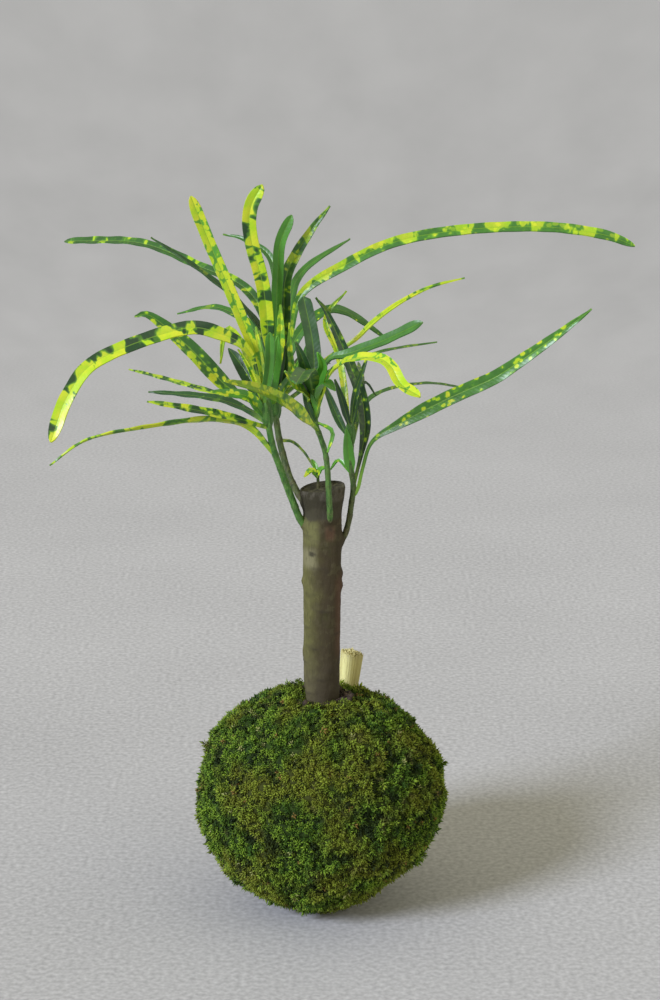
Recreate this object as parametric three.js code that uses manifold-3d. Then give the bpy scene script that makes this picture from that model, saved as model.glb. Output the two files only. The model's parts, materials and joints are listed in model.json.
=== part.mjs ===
// A kokedama: a narrow-leaved croton on a short cut trunk, rooted in a ball of soil that is wrapped
// in moss. Millimetres, +Z up, -Y towards the viewer. The origin is the middle of the flat spot that
// the ball rests on.
import * as THREE from "three";
import { mergeVertices } from "three/addons/utils/BufferGeometryUtils.js";
import Module from "manifold-3d";

const wasm = await Module();
wasm.setup();

// Driving sizes of the ball
const BALL_RADIUS = 55.3; // across, at the widest
const BALL_CENTRE_Z = 51; // the height of its widest ring
const BALL_RISE = 49; // from there up to the top
const BALL_DROP = 53.6; // from there down to the full shape's lowest point, below the flat foot
const SHOULDER_CURVE = 2.15; // of the profile above the widest ring: 2 is an ellipse, more is fuller
const UNDERSIDE_CURVE = 1.7; // and below it: less is more tapered
// Broad swellings and hollows of a ball that is shaped by hand: where they lie, seen from the middle,
// how wide they are, as a share of the radius, and how far they stand out.
const LOBES = [
  { towards: [-0.78, 0, 0.62], reach: 0.35, rise: 1.5 },
  { towards: [-0.98, 0, 0.2], reach: 0.3, rise: -1.3 },
  { towards: [-0.75, -0.1, -0.65], reach: 0.35, rise: 1.8 },
  { towards: [0.72, 0, 0.7], reach: 0.45, rise: -1.7 },
  { towards: [0.5, -0.25, -0.82], reach: 0.5, rise: -3 },
  { towards: [-0.2, 0.95, 0.1], reach: 0.5, rise: -1.6 },
  { towards: [0.5, 0.7, -0.4], reach: 0.4, rise: 1.4 },
];
const MOSS_THICKNESS = 7;
const MOUTH_RADIUS = 12; // where the moss stops short of the trunk
const MOUTH_WAVES = [
  { count: 3, rise: 1.2, start: 0.6 },
  { count: 5, rise: 0.7, start: 0 },
]; // how its edge wanders, as waves round it
const SOIL_COLLAR_Z = 96.5; // the soil heaped up in the mouth, round the trunk
const CLEARANCE = 0.3; // between any two pieces that touch

// Driving sizes of the moss relief
const TUFT_COUNT = 300;
const TUFT_RISE = 3;
const TUFT_LOWEST = 0.45; // the flattest tuft, as a share of the tallest
const TUFT_SHAKE = 0.2; // radians over which a tuft is shaken off its even place
const TUFT_SPREAD = 2.6; // how far a tuft reaches, for each half gap between tufts
const TUFT_DIP = 1.2; // how far the gaps between tufts lie under the ball's mean surface
const FOOT_BLEND = 9; // the relief grows to full over this height above the foot

// Driving sizes of the trunk
const TRUNK_RADIUS = 8.3; // at its upper end
const TRUNK_SLIM = 0.94; // its lower end's width as a share of that
const TRUNK_WIDENS_Z = [105, 170];
const TRUNK_TOP_Z = 193;
const TRUNK_FOOT_Z = 50; // its buried end
const TRUNK_LEAN = 0.012; // sideways run for each millimetre of height
const TRUNK_SHIFT = -0.6;
const DEAD_WOOD_Z = [180, 183]; // the dark wood under the cut starts here, a little shrunken
const DEAD_WOOD_SHRINK = 0.04;
const CALLUS_Z = [184, 191];
const CALLUS_RISE = 1.5; // how far the rim swells round the cut end
const FLUTES = [
  { count: 3, rise: 0.2, twist: 0.02 },
  { count: 5, rise: 0.14, twist: -0.045 },
]; // shallow waves round the trunk, with their turn for each millimetre up
const COLLAR_SIZE = 3.6; // of the swelling round the foot of a side shoot
const CUT_START_Z = 187;
const CUT_SLOPE = 0.1; // the cut end falls towards the left
const HOLE_SLACK = 1; // the trunk's hole in the soil is this much wider than the trunk

// Driving sizes of the leaves and stems
const BLADE_THICKNESS = 0.7;
const PETIOLE_WIDTH = 1.5;
const PETIOLE_DEPTH = 1.3;
const PETIOLE_SHARE = 0.1; // of a leaf's length
const BLADE_FOLD = 0.3; // rise of the edges over the midrib, for each millimetre of half width
const TIP_WIDTH = 0.9;
const OPENING_SHARE = 0.25; // of the length, over which the petiole widens into the blade
const POINT_START = 0.45; // where a pointed leaf begins to narrow
const BLUNT_START = 0.92; // where a blunt leaf begins to narrow
const PETIOLE_SLIMMEST = 0.55; // a narrow leaf's petiole, as a share of the leaf's width
const LEAF_STEP = 9; // the length of one facet along a leaf, between the fewest and most of them
const FEWEST_STEPS = 4;
const MOST_STEPS = 17;
const POINT_CURVE = 1.8; // how late a pointed leaf narrows
const POINT_SHARPNESS = 0.65; // how slim its last stretch is
const CROWN_AT = 0.92; // of a stem's length, where the leaf bases are packed thickest
const CROWN_LENGTH = 2.6; // for each millimetre of its radius

// Facets: round and up for what is turned, and along each side for the stake
const MOSS_FACETS = [60, 30];
const SOIL_FACETS = [24, 10];
const MOUTH_SIDES = 28;
const TRUNK_FACETS = [20, 38];
const HOLE_SIDES = 22;
const STEM_SIDES = 8;
const CROWN_STEPS = 6;
const STAKE_FACETS = [6, 4, 5];

// Driving sizes of the stake, a stub of split cane behind the trunk
const STAKE_TOP = [13.8, 27, 108.5];
const STAKE_FOOT = [8.7, 26, 64];
const STAKE_WIDTH = 8.6;
const STAKE_DEPTH = 7;
const STAKE_TAPER = 0.6; // its foot's width as a share of its top's
const STAKE_TURN = -48; // degrees round its own length
const STAKE_FIBRE = 0.3; // how unevenly its fibres stand
const STAKE_SPLINTER = 1.2; // how unevenly its top is broken

const COLOURS = {
  moss: new THREE.Color(0.16, 0.24, 0.045),
  soil: new THREE.Color(0.07, 0.05, 0.04),
  bark: new THREE.Color(0.2, 0.18, 0.1),
  stake: new THREE.Color(0.68, 0.6, 0.3),
  leaf: new THREE.Color(0.2, 0.42, 0.05),
};

// Small helpers

// A repeatable random number from 0 to 1, from a whole number.
function random(seed) {
  const s = Math.sin(seed * 127.1 + 11.7) * 43758.5453;
  return s - Math.floor(s);
}

const smooth = THREE.MathUtils.smoothstep;
const mix = THREE.MathUtils.lerp;
const radians = THREE.MathUtils.degToRad;
const vec = (p) => new THREE.Vector3(...p);

// Moves every vertex of a geometry to where a formula puts it.
function shaped(geometry, place) {
  const position = geometry.getAttribute("position");
  const point = new THREE.Vector3();
  for (let i = 0; i < position.count; i++) {
    point.fromBufferAttribute(position, i);
    const moved = place(point.clone());
    position.setXYZ(i, moved.x, moved.y, moved.z);
  }
  return geometry;
}

// A closed geometry as a solid that can be joined and cut.
function solid(geometry) {
  const bare = geometry.clone();
  bare.deleteAttribute("normal");
  bare.deleteAttribute("uv");
  const merged = mergeVertices(bare, 1e-4);
  return new wasm.Manifold(
    new wasm.Mesh({
      numProp: 3,
      vertProperties: new Float32Array(merged.getAttribute("position").array),
      triVerts: new Uint32Array(merged.index.array),
    }),
  );
}

// A finished solid as a named mesh with a material of its own.
function piece(name, made, color, roughness) {
  const { vertProperties, triVerts } = made.getMesh();
  const geometry = new THREE.BufferGeometry();
  geometry.setAttribute("position", new THREE.BufferAttribute(new Float32Array(vertProperties), 3));
  geometry.setIndex(new THREE.BufferAttribute(new Uint32Array(triVerts), 1));
  geometry.computeVertexNormals();
  const mesh = new THREE.Mesh(geometry, new THREE.MeshStandardMaterial({ color, roughness, metalness: 0 }));
  mesh.name = name;
  return mesh;
}

// The ball

// A point of the ball's profile, at an angle above or below its widest ring.
function profilePoint(angle, inset) {
  const [half, curve] = angle > 0 ? [BALL_RISE, SHOULDER_CURVE] : [BALL_DROP, UNDERSIDE_CURVE];
  const radius = (BALL_RADIUS - inset) * Math.cos(angle) ** (2 / curve);
  const height = Math.sign(angle) * (half - inset) * Math.abs(Math.sin(angle)) ** (2 / curve);
  return new THREE.Vector2(radius, BALL_CENTRE_Z + height);
}

// An egg shape with a flat foot, smaller than the ball by an inset all round.
function egg(inset, [segments, steps]) {
  const drop = (BALL_CENTRE_Z - inset) / (BALL_DROP - inset);
  const from = -Math.asin(drop ** (UNDERSIDE_CURVE / 2));
  const profile = [new THREE.Vector2(0, inset)];
  for (let i = 0; i < steps; i++) profile.push(profilePoint(mix(from, Math.PI / 2, i / steps), inset));
  profile.push(new THREE.Vector2(0, BALL_CENTRE_Z + BALL_RISE - inset));
  return new THREE.LatheGeometry(profile, segments).rotateX(Math.PI / 2);
}

// Tuft centres, spread over the ball by the golden angle and shaken along and across it.
const GOLDEN_ANGLE = Math.PI * (3 - Math.sqrt(5));
const tufts = Array.from({ length: TUFT_COUNT }, (_, i) => {
  const level = Math.acos(1 - (2 * (i + 0.5)) / TUFT_COUNT) + (random(i + 2 * TUFT_COUNT) - 0.5) * TUFT_SHAKE;
  const [ring, up] = [Math.abs(Math.sin(level)), Math.cos(level)];
  const round = i * GOLDEN_ANGLE + ((random(i) - 0.5) * TUFT_SHAKE) / Math.max(ring, TUFT_SHAKE);
  return {
    centre: new THREE.Vector3(ring * Math.cos(round), ring * Math.sin(round), up),
    height: TUFT_RISE * mix(TUFT_LOWEST, 1, random(i + TUFT_COUNT)),
  };
});
const TUFT_REACH = TUFT_SPREAD / Math.sqrt(TUFT_COUNT);

// How far the moss stands out in a direction: a rounded cushion round the nearest tuft centre.
function tuftHeight(direction) {
  const away = tufts.map((tuft) => tuft.centre.distanceTo(direction));
  const nearest = Math.min(...away);
  const dome = Math.max(0, 1 - (nearest / TUFT_REACH) ** 2);
  return tufts[away.indexOf(nearest)].height * dome - TUFT_DIP;
}

// How far the ball's swellings and hollows stand out in a direction.
function lobeHeight(direction) {
  return LOBES.reduce((sum, lobe) => {
    const away = vec(lobe.towards).normalize().distanceTo(direction) / lobe.reach;
    return sum + lobe.rise * Math.exp(-away * away);
  }, 0);
}

function mossCover() {
  const outside = shaped(egg(0, MOSS_FACETS), (p) => {
    const direction = new THREE.Vector3(p.x, p.y, p.z - BALL_CENTRE_Z).normalize();
    const relief = tuftHeight(direction) + lobeHeight(direction);
    return p.addScaledVector(direction, relief * smooth(p.z, 0, FOOT_BLEND));
  });
  const inside = solid(egg(MOSS_THICKNESS, SOIL_FACETS));
  return solid(outside).subtract(inside).subtract(mouthPlug(0, SOIL_COLLAR_Z + BALL_RADIUS));
}

// A wavy round plug that reaches down from a height: the hole in the moss round the trunk, and,
// smaller by an inset, the collar of soil that fills it.
function mouthPlug(inset, topZ) {
  const height = topZ - BALL_CENTRE_Z;
  const plug = new THREE.CylinderGeometry(1, 1, height, MOUTH_SIDES).rotateX(Math.PI / 2);
  return solid(
    shaped(plug, (p) => {
      const bearing = Math.atan2(p.y, p.x);
      const wander = MOUTH_WAVES.reduce((sum, w) => sum + w.rise * Math.sin(w.count * bearing + w.start), 0);
      const radius = Math.hypot(p.x, p.y) * (MOUTH_RADIUS - inset + wander);
      const [x, y] = [radius * Math.cos(bearing), radius * Math.sin(bearing)];
      return new THREE.Vector3(x, y, p.z + topZ - height / 2);
    }),
  );
}

function soilBall() {
  const packed = solid(egg(MOSS_THICKNESS + CLEARANCE, SOIL_FACETS));
  return packed.add(mouthPlug(CLEARANCE, SOIL_COLLAR_Z)).subtract(trunkHole());
}

// The trunk

const trunkX = (z) => TRUNK_SHIFT + (z - TRUNK_FOOT_Z) * TRUNK_LEAN;

// Knots and old leaf scars: height, bearing round the trunk in degrees, size and how far they stand out.
const KNOTS = [
  { z: 151, bearing: 186, size: 2.6, rise: 1 },
  { z: 154.5, bearing: -8, size: 3.4, rise: 0.9 },
  { z: 149, bearing: -4, size: 3, rise: 0.9 },
  { z: 162, bearing: 245, size: 3.6, rise: 0.5 },
  { z: 126, bearing: 100, size: 4, rise: 0.8 },
  { z: 112, bearing: 300, size: 4, rise: 0.5 },
  { z: 135, bearing: 40, size: 3.5, rise: 0.7 },
  { z: 119, bearing: 188, size: 5, rise: 0.6 },
  { z: 168, bearing: 80, size: 4, rise: 0.8 },
];

// The swollen collar that the trunk forms where each side shoot leaves it, at its stem's second point.
function collars() {
  return Object.values(SHOOTS)
    .filter((shoot) => shoot.collar)
    .map((shoot) => {
      const [x, y, z] = shoot.stem[1];
      const bearing = THREE.MathUtils.radToDeg(Math.atan2(y, x - trunkX(z)));
      return { z: z + shoot.collar.up, bearing, size: COLLAR_SIZE, rise: shoot.collar.rise };
    });
}

function trunkRadius(z, bearing, knots) {
  const slim = mix(TRUNK_SLIM, 1, smooth(z, ...TRUNK_WIDENS_Z));
  const shrunk = 1 - DEAD_WOOD_SHRINK * smooth(z, ...DEAD_WOOD_Z);
  const callus = CALLUS_RISE * smooth(z, ...CALLUS_Z);
  const flutes = FLUTES.reduce((sum, f) => sum + f.rise * Math.sin(f.count * bearing + f.twist * z), 0);
  const bumps = knots.reduce((sum, knot) => {
    const turn = bearing - radians(knot.bearing);
    const round = Math.atan2(Math.sin(turn), Math.cos(turn)) * TRUNK_RADIUS;
    const away = Math.hypot(round, z - knot.z) / knot.size;
    return sum + knot.rise * Math.exp(-2 * away * away);
  }, 0);
  return TRUNK_RADIUS * slim * shrunk + callus + flutes + bumps;
}

function trunk() {
  const knots = [...KNOTS, ...collars()];
  const post = new THREE.CylinderGeometry(1, 1, 1, ...TRUNK_FACETS).rotateX(Math.PI / 2);
  const whole = solid(
    shaped(post, (p) => {
      const bearing = Math.atan2(p.y, p.x);
      const z = mix(TRUNK_FOOT_Z, TRUNK_TOP_Z, p.z + 0.5);
      const radius = Math.hypot(p.x, p.y) * trunkRadius(z, bearing, knots);
      const x = radius * Math.cos(bearing);
      const slope = smooth(z, CUT_START_Z, TRUNK_TOP_Z) * CUT_SLOPE * x;
      return new THREE.Vector3(trunkX(z) + x, radius * Math.sin(bearing), z + slope);
    }),
  );
  return Object.values(SHOOTS).reduce((left, shoot) => left.subtract(stemSolid(shoot, CLEARANCE)), whole);
}

// The plain hole that the trunk stands in.
function trunkHole() {
  const [fromZ, toZ] = [TRUNK_FOOT_Z - CLEARANCE, TRUNK_TOP_Z];
  const radius = TRUNK_RADIUS + HOLE_SLACK;
  const bore = new THREE.CylinderGeometry(radius, radius, toZ - fromZ, HOLE_SIDES).rotateX(Math.PI / 2);
  return solid(bore.translate(trunkX(fromZ), 0, (fromZ + toZ) / 2));
}

// The shoots. Each stem is a line of points from its socket in the trunk to its growing tip. Each
// leaf starts on the stem at a share of its length (0 the socket, 1 the tip) and follows its line.
// turn is how far its face is turned from the sky (0) towards the viewer (90), or below the level
// where it is negative; a pair of turns twists the leaf from its root to its tip.
const SHOOTS = {
  shoot_left_front: {
    radius: [1.6, 1.3],
    crown: 2.6,
    collar: { rise: 1.6, up: -2 },
    stem: [
      [-2.5, -1, 173], [-8, -3.5, 178], [-12.6, -6, 190], [-16.6, -9, 202], [-20, -12, 213],
      [-22, -14, 224], [-24, -15, 234],
    ],
    leaves: [
      {
        at: 0.98, width: 5.8, turn: [70, 55], blunt: true,
        line: [
          [-29, -23, 256], [-41, -28, 265], [-57, -34, 268], [-89, -46, 258], [-101, -53, 245],
          [-108, -60, 227],
        ],
      },
      {
        at: 0.95, width: 7, turn: [40, 65],
        line: [[-39, -15, 240], [-54, -15, 256], [-70, -16, 270], [-77, -16, 270]],
      },
      { at: 0.97, width: 6.4, turn: 75, line: [[-32, -5, 245], [-39, 2, 253]] },
      { at: 0.93, width: 3, turn: 50, line: [[-31, -12, 254], [-39, -11, 264], [-42, -11, 249]] },
      { at: 0.85, width: 3.8, turn: 8, line: [[-41, 8, 230], [-54, 19, 232], [-85, 45, 235]] },
      { at: 0.88, width: 4.6, turn: 18, line: [[-43, 0, 231], [-74, 12, 232]] },
      { at: 0.82, width: 4.8, turn: 28, line: [[-40, -22, 229], [-71, -34, 238]] },
      {
        at: 0.62, width: 3.9, turn: [-70, -4], petiole: 0,
        line: [[-30, -16, 223], [-46, -20, 227], [-71, -25, 225], [-96, -30, 221], [-112, -34, 211]],
      },
      {
        at: 1, width: 4.8, turn: 80, blunt: true,
        line: [[-26, -18, 252], [-36, -24, 280], [-44, -27, 300], [-52, -32, 322]],
      },
      { at: 0.99, width: 2.8, turn: 80, line: [[-25, -11, 250], [-27, -7, 264]] },
      { at: 0.84, width: 5, turn: 45, line: [[-29, -20, 236], [-37, -24, 239], [-45, -28, 241]] },
      { at: 0.96, width: 2, turn: 60, line: [[-28, -18, 245], [-31, -20, 252], [-34, -20, 257]] },
      { at: 0.97, width: 3.8, turn: 80, blunt: true, line: [[-21, -28, 251], [-20.5, -34, 259], [-20.5, -36, 267]] },
    ],
  },
  shoot_left_back: {
    radius: [1.55, 1.3],
    crown: 3,
    collar: { rise: 1.5, up: -2 },
    stem: [
      [-3, 1, 181], [-8, 2.6, 186.5], [-13, 5, 195], [-16, 8, 204], [-18, 10, 212],
      [-19.5, 12, 222], [-21, 13, 232],
    ],
    leaves: [
      {
        at: 0.96, width: 4.8, turn: 30, blunt: true,
        line: [[-23, 32, 255], [-33, 44, 271], [-54, 56, 279], [-81, 71, 287], [-117, 90, 285]],
      },
      {
        at: 0.92, width: 4.5, turn: 8,
        line: [[-24, 20, 253], [-36, 23, 269], [-52, 26, 282], [-73, 30, 296]],
      },
      {
        at: 1, width: 5.8, turn: 85, blunt: true,
        line: [[-22, 9, 251], [-24, 4, 278], [-29, 0, 300], [-29, -3, 313], [-24, -4, 323]],
      },
      {
        at: 0.94, width: 4, turn: 40,
        line: [[-18, 30, 255], [-21, 42, 283], [-33, 48, 292], [-43, 52, 294]],
      },
      {
        at: 0.99, width: 4.6, turn: 85, blunt: true,
        line: [[-20, 13, 252], [-18, 9, 284], [-17, 7, 297], [-12, 6, 309]],
      },
      {
        at: 0.97, width: 5.4, turn: 80,
        line: [[-16, 14, 258], [-15, 13, 280], [-10, 13, 292], [-3, 12, 303], [4, 12, 312]],
      },
      { at: 0.9, width: 4, turn: 40, line: [[-14, 43, 262], [-8, 55, 277], [13, 72, 289]] },
      {
        at: 0.98, width: 4.6, turn: [75, 50], blunt: true,
        line: [
          [-13, 8, 256], [-8, 9, 275], [10, 10, 287], [32, 11, 297], [61, 11, 302], [93, 12, 303],
          [118, 12, 300], [133, 12, 295],
        ],
      },
      { at: 0.88, width: 4.8, turn: 45, line: [[-12, 27, 250], [0, 34, 262], [11, 37, 262], [30, 45, 248]] },
      { at: 0.86, width: 2.6, turn: 0, line: [[4, 35, 236], [26, 48, 242], [52, 62, 244]] },
      { at: 0.89, width: 4.6, turn: 25, line: [[-28, 40, 251], [-45, 57, 260], [-65, 72, 255]] },
      { at: 0.62, width: 2.2, turn: 20, line: [[-13, 16, 209], [-8, 20, 204], [-3, 26, 195]] },
      {
        at: 0.9, width: 2.4, turn: 45, petiole: 0.35,
        line: [[1, 22, 243], [15, 22, 253], [22, 22, 260], [33, 24, 268], [47, 26, 275], [62, 27, 279]],
      },
      { at: 0.88, width: 6, turn: 85, line: [[-21, 2, 237], [-19, 0, 248], [-18, -2, 259]] },
      { at: 0.94, width: 4.4, turn: 85, line: [[-18, 8, 242], [-17, 6, 258], [-17, 6, 271]] },
      { at: 0.9, width: 3.4, turn: 85, line: [[-17, 4, 237], [-15, 2, 247], [-15, 2, 254]] },
      { at: 0.92, width: 3, turn: 85, line: [[-13, 4, 239], [-13, 2, 252], [-13, 2, 264]] },
      { at: 0.9, width: 4, turn: 60, line: [[-16, 0, 236], [-12, -8, 243], [-9, -14, 251]] },
      { at: 0.95, width: 4.8, turn: 20, line: [[-18, 50, 250], [-14, 95, 252]] },
      { at: 0.93, width: 4.8, turn: 20, line: [[-30, 45, 246], [-40, 85, 240]] },
      { at: 0.91, width: 4.8, turn: 20, line: [[-8, 50, 238], [4, 92, 228]] },
    ],
  },
  shoot_front: {
    radius: [1.3, 1.05],
    crown: 2.2,
    collar: { rise: 1.4, up: -2 },
    stem: [
      [2.8, -4, 176.5], [4, -8.9, 181.5], [3.6, -12, 191], [3, -14, 203], [2, -16, 212],
      [0, -18, 219], [-2, -20, 226], [-2.5, -21.5, 238],
    ],
    leaves: [
      {
        at: 0.85, width: 5, turn: [45, 30], blunt: true,
        line: [[2, -32, 245], [7, -42, 254], [14, -54, 260], [23, -64, 262], [28, -70, 260], [32, -76, 254],
          [39, -84, 251]],
      },
      {
        at: 0.98, width: 4.6, turn: 50, blunt: true, petiole: 0.25,
        line: [[3, -29, 254], [12, -34, 258], [26, -42, 265], [41, -50, 274]],
      },
      { at: 0.76, width: 5.4, turn: 62, line: [[-5, -34, 230], [-13, -50, 241], [-25, -68, 251], [-37, -82, 257]] },
      { at: 0.97, width: 7, turn: 35, blunt: true, line: [[-5, -55, 255], [-9, -87, 257]] },
      { at: 0.8, width: 3, turn: 70, line: [[-4, -23, 230], [-7, -28, 241]] },
      { at: 0.94, width: 5.4, turn: 45, line: [[2, -42, 247], [6, -58, 248]] },
      { at: 1, width: 6, turn: 85, blunt: true, line: [[-3, -18, 258], [-7, -14, 278]] },
      { at: 0.93, width: 5.4, turn: 75, line: [[-5, -30, 246], [-7, -38, 256], [-10, -40, 264]] },
      { at: 0.83, width: 5.4, turn: 65, line: [[-1, -30, 244], [1, -38, 253], [-1, -42, 260]] },
      { at: 0.88, width: 5.6, turn: 55, line: [[-5, -26, 238], [-10, -40, 246], [-14, -50, 254]] },
      { at: 0.82, width: 1.6, turn: 60, line: [[5, -20, 222], [3, -24, 214]] },
      { at: 0.97, width: 4.4, turn: 75, line: [[-7, -17, 243], [-6, -13, 252], [-4, -8, 260]] },
    ],
  },
  shoot_right: {
    radius: [1.3, 1.1],
    crown: 2,
    collar: { rise: 1.5, up: -1.5 },
    stem: [
      [4.5, -0.4, 166.5], [9.6, -0.2, 170], [12, 0.6, 177], [13.2, 1, 185], [14, 0, 193],
      [13, -2, 202], [13, -3, 212], [12.5, -4, 222],
    ],
    leaves: [
      { at: 0.82, width: 2.6, turn: 0, line: [[21, 24, 226], [46, 52, 227], [72, 78, 218]] },
      { at: 0.92, width: 2, turn: 20, line: [[18, 10, 236], [24, 14, 230]] },
      {
        at: 0.42, width: 6.4, turn: 65, petiole: 0.17,
        line: [
          [16, 0, 192], [18, 0, 201], [22, -1, 213], [33, -3, 221], [53, -4, 232], [72, -5, 241],
          [81, -6, 247], [97, -8, 259], [113, -10, 272],
        ],
      },
      {
        at: 0.5, width: 5, turn: 85,
        line: [[18, 3, 210], [19, 5, 221], [16, 7, 236], [4, 11, 264], [-2, 12, 273]],
      },
      { at: 0.9, width: 2.8, turn: 70, line: [[8, 9, 247], [2, 14, 263], [11, 17, 275]] },
      { at: 0.95, width: 3, turn: 80, line: [[9, -8, 233], [6, -10, 242]] },
      { at: 0.97, width: 2.6, turn: 80, line: [[15, -4, 236], [20, -4, 251]] },
      { at: 0.86, width: 3.4, turn: 80, line: [[8, -1, 222], [1, 4, 238]] },
      { at: 0.56, width: 4.6, turn: 85, line: [[12, -4, 208], [11, -8, 220]] },
      { at: 0.6, width: 1.6, turn: 50, line: [[8, 3, 204], [4, 6, 199]] },
      { at: 0.88, width: 4, turn: 15, line: [[16.5, 20, 222], [17.5, 46, 229], [17, 80, 231]] },
    ],
  },
  sprout_top: {
    radius: [0.7, 0.6],
    crown: 0.9,
    stem: [[-1, 1.5, 190], [-1, 1.4, 193], [-1.2, 1, 196], [-1.5, 0.5, 199]],
    leaves: [
      { at: 0.8, width: 2.6, turn: 50, line: [[-4, -1, 200.5], [-7, -4, 198.5]] },
      { at: 0.85, width: 2.2, turn: 50, line: [[0, -1, 201], [2.5, -2, 202]] },
      { at: 0.95, width: 2.2, turn: 50, line: [[-2.5, 2, 202], [-4, 4, 204]] },
    ],
  },
};

// A smooth curve through a list of points.
const through = (points) => new THREE.CatmullRomCurve3(points, false, "catmullrom", 0.5);

// A stem: a tapering rod bent along its curve. grow makes it larger all round, which cuts its hole.
function stemSolid(shoot, grow = 0) {
  const curve = through(shoot.stem.map(vec));
  const steps = (shoot.stem.length - 1) * 2;
  const frames = curve.computeFrenetFrames(steps, false);
  const rod = new THREE.CylinderGeometry(1, 1, 1, STEM_SIDES, steps);
  return solid(
    shaped(rod, (p) => {
      const along = p.y + 0.5;
      const i = Math.round(along * steps);
      const radius = mix(shoot.radius[0], shoot.radius[1], along) + grow;
      return curve
        .getPointAt(along)
        .addScaledVector(frames.tangents[i], i ? 0 : -grow)
        .addScaledVector(frames.normals[i], p.z * radius)
        .addScaledVector(frames.binormals[i], p.x * radius);
    }),
  );
}

// How far a leaf has widened from its petiole into its blade: 0 to 1.
function opening(along, leaf) {
  const petiole = leaf.petiole ?? PETIOLE_SHARE;
  return smooth(along, petiole, petiole + OPENING_SHARE);
}

// The width of a leaf along its length: a thin petiole, a strap, and a point or a blunt end.
function leafWidth(along, leaf) {
  const petiole = Math.min(PETIOLE_WIDTH, leaf.width * PETIOLE_SLIMMEST);
  const start = leaf.blunt ? BLUNT_START : POINT_START;
  const closing = Math.max(0, (along - start) / (1 - start));
  const closed = leaf.blunt ? Math.sqrt(1 - closing ** 2) : (1 - closing ** POINT_CURVE) ** POINT_SHARPNESS;
  return Math.max(TIP_WIDTH, mix(petiole, leaf.width, opening(along, leaf)) * closed);
}

// A leaf: a thin strap bent along its line, folded a little along its midrib.
function leafSolid(root, leaf) {
  const curve = through([root, ...leaf.line.map(vec)]);
  const steps = THREE.MathUtils.clamp(Math.round(curve.getLength() / LEAF_STEP), FEWEST_STEPS, MOST_STEPS);
  const [turnAtRoot, turnAtTip = turnAtRoot] = [leaf.turn].flat();
  const strap = new THREE.BoxGeometry(2, 1, 1, 2, 1, steps);
  return solid(
    shaped(strap, (p) => {
      const along = p.z + 0.5;
      const tangent = curve.getTangentAt(along);
      const turn = radians(mix(turnAtRoot, turnAtTip, along));
      const facing = new THREE.Vector3(0, -Math.sin(turn), Math.cos(turn));
      const face = facing.addScaledVector(tangent, -facing.dot(tangent)).normalize();
      const side = new THREE.Vector3().crossVectors(face, tangent);
      const opened = opening(along, leaf);
      const half = leafWidth(along, leaf) / 2;
      const thick = mix(Math.min(PETIOLE_DEPTH, leaf.width * PETIOLE_SLIMMEST), BLADE_THICKNESS, opened);
      const fold = BLADE_FOLD * half * Math.abs(p.x) * opened;
      return curve
        .getPointAt(along)
        .addScaledVector(side, p.x * half)
        .addScaledVector(face, p.y * thick + fold);
    }),
  );
}

// The crown at the head of a stem: the bud, and the leaf bases packed round it.
function crownSolid(shoot) {
  const curve = through(shoot.stem.map(vec));
  const bud = new THREE.SphereGeometry(shoot.crown, STEM_SIDES, CROWN_STEPS).scale(1, CROWN_LENGTH, 1);
  const along = curve.getTangentAt(CROWN_AT);
  const aim = new THREE.Quaternion().setFromUnitVectors(new THREE.Vector3(0, 1, 0), along);
  const centre = curve.getPointAt(CROWN_AT);
  return solid(bud.applyQuaternion(aim).translate(centre.x, centre.y, centre.z));
}

function shootSolid(shoot) {
  const curve = through(shoot.stem.map(vec));
  return shoot.leaves.reduce(
    (grown, leaf) => grown.add(leafSolid(curve.getPointAt(leaf.at), leaf)),
    stemSolid(shoot).add(crownSolid(shoot)),
  );
}

// The stake: a four-sided split of cane, wider at its top, with a ragged end. grow makes it larger
// all round, which cuts its hole.
function stakeSolid(grow = 0) {
  const [top, foot] = [vec(STAKE_TOP), vec(STAKE_FOOT)];
  const axis = top.clone().sub(foot);
  const length = axis.length();
  const split = shaped(new THREE.BoxGeometry(1, 1, 1, ...STAKE_FACETS), (p) => {
    const up = p.z + 0.5;
    const taper = mix(STAKE_TAPER, 1, up);
    const [column, row] = [Math.round(p.x * STAKE_FACETS[0]), Math.round(p.y * STAKE_FACETS[1])];
    const fibre = STAKE_FIBRE * (random(column + row * 31) - 0.5);
    const splinter = up === 1 ? STAKE_SPLINTER * random(column + 77) : 0;
    return new THREE.Vector3(
      p.x * (STAKE_WIDTH * taper + fibre + 2 * grow),
      p.y * (STAKE_DEPTH * taper + fibre + 2 * grow),
      p.z * (length + 2 * grow) + splinter,
    );
  });
  split.rotateZ(radians(STAKE_TURN));
  const tilt = new THREE.Quaternion().setFromUnitVectors(new THREE.Vector3(0, 0, 1), axis.normalize());
  const middle = top.add(foot).multiplyScalar(0.5);
  return solid(split.applyQuaternion(tilt).translate(middle.x, middle.y, middle.z));
}

// The plant
const plant = new THREE.Group();
const stakeHole = stakeSolid(CLEARANCE);
plant.add(
  piece("moss_cover", mossCover().subtract(stakeHole), COLOURS.moss, 0.95),
  piece("soil_ball", soilBall().subtract(stakeHole), COLOURS.soil, 0.95),
  piece("trunk", trunk(), COLOURS.bark, 0.85),
  piece("cane_stake", stakeSolid(), COLOURS.stake, 0.8),
  ...Object.entries(SHOOTS).map(([name, shoot]) => piece(name, shootSolid(shoot), COLOURS.leaf, 0.45)),
);

export default plant;
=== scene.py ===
# %% [markdown]
# # A croton in a moss ball
# A kokedama is a plant with no pot. Its soil is pressed into a ball and wrapped in sheet moss. This one
# holds a narrow-leaved croton that was cut back to a bare trunk and has sprouted four leafy shoots.
#
# The sizes come first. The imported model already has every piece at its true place, in metres, so the
# lesson is about surfaces: moss that reads as thousands of tiny sprigs, bark, and speckled leaves.

# %% Load the measured solids
import json
import math
from dataclasses import dataclass

import bpy
import numpy as np
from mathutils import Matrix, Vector, noise

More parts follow.
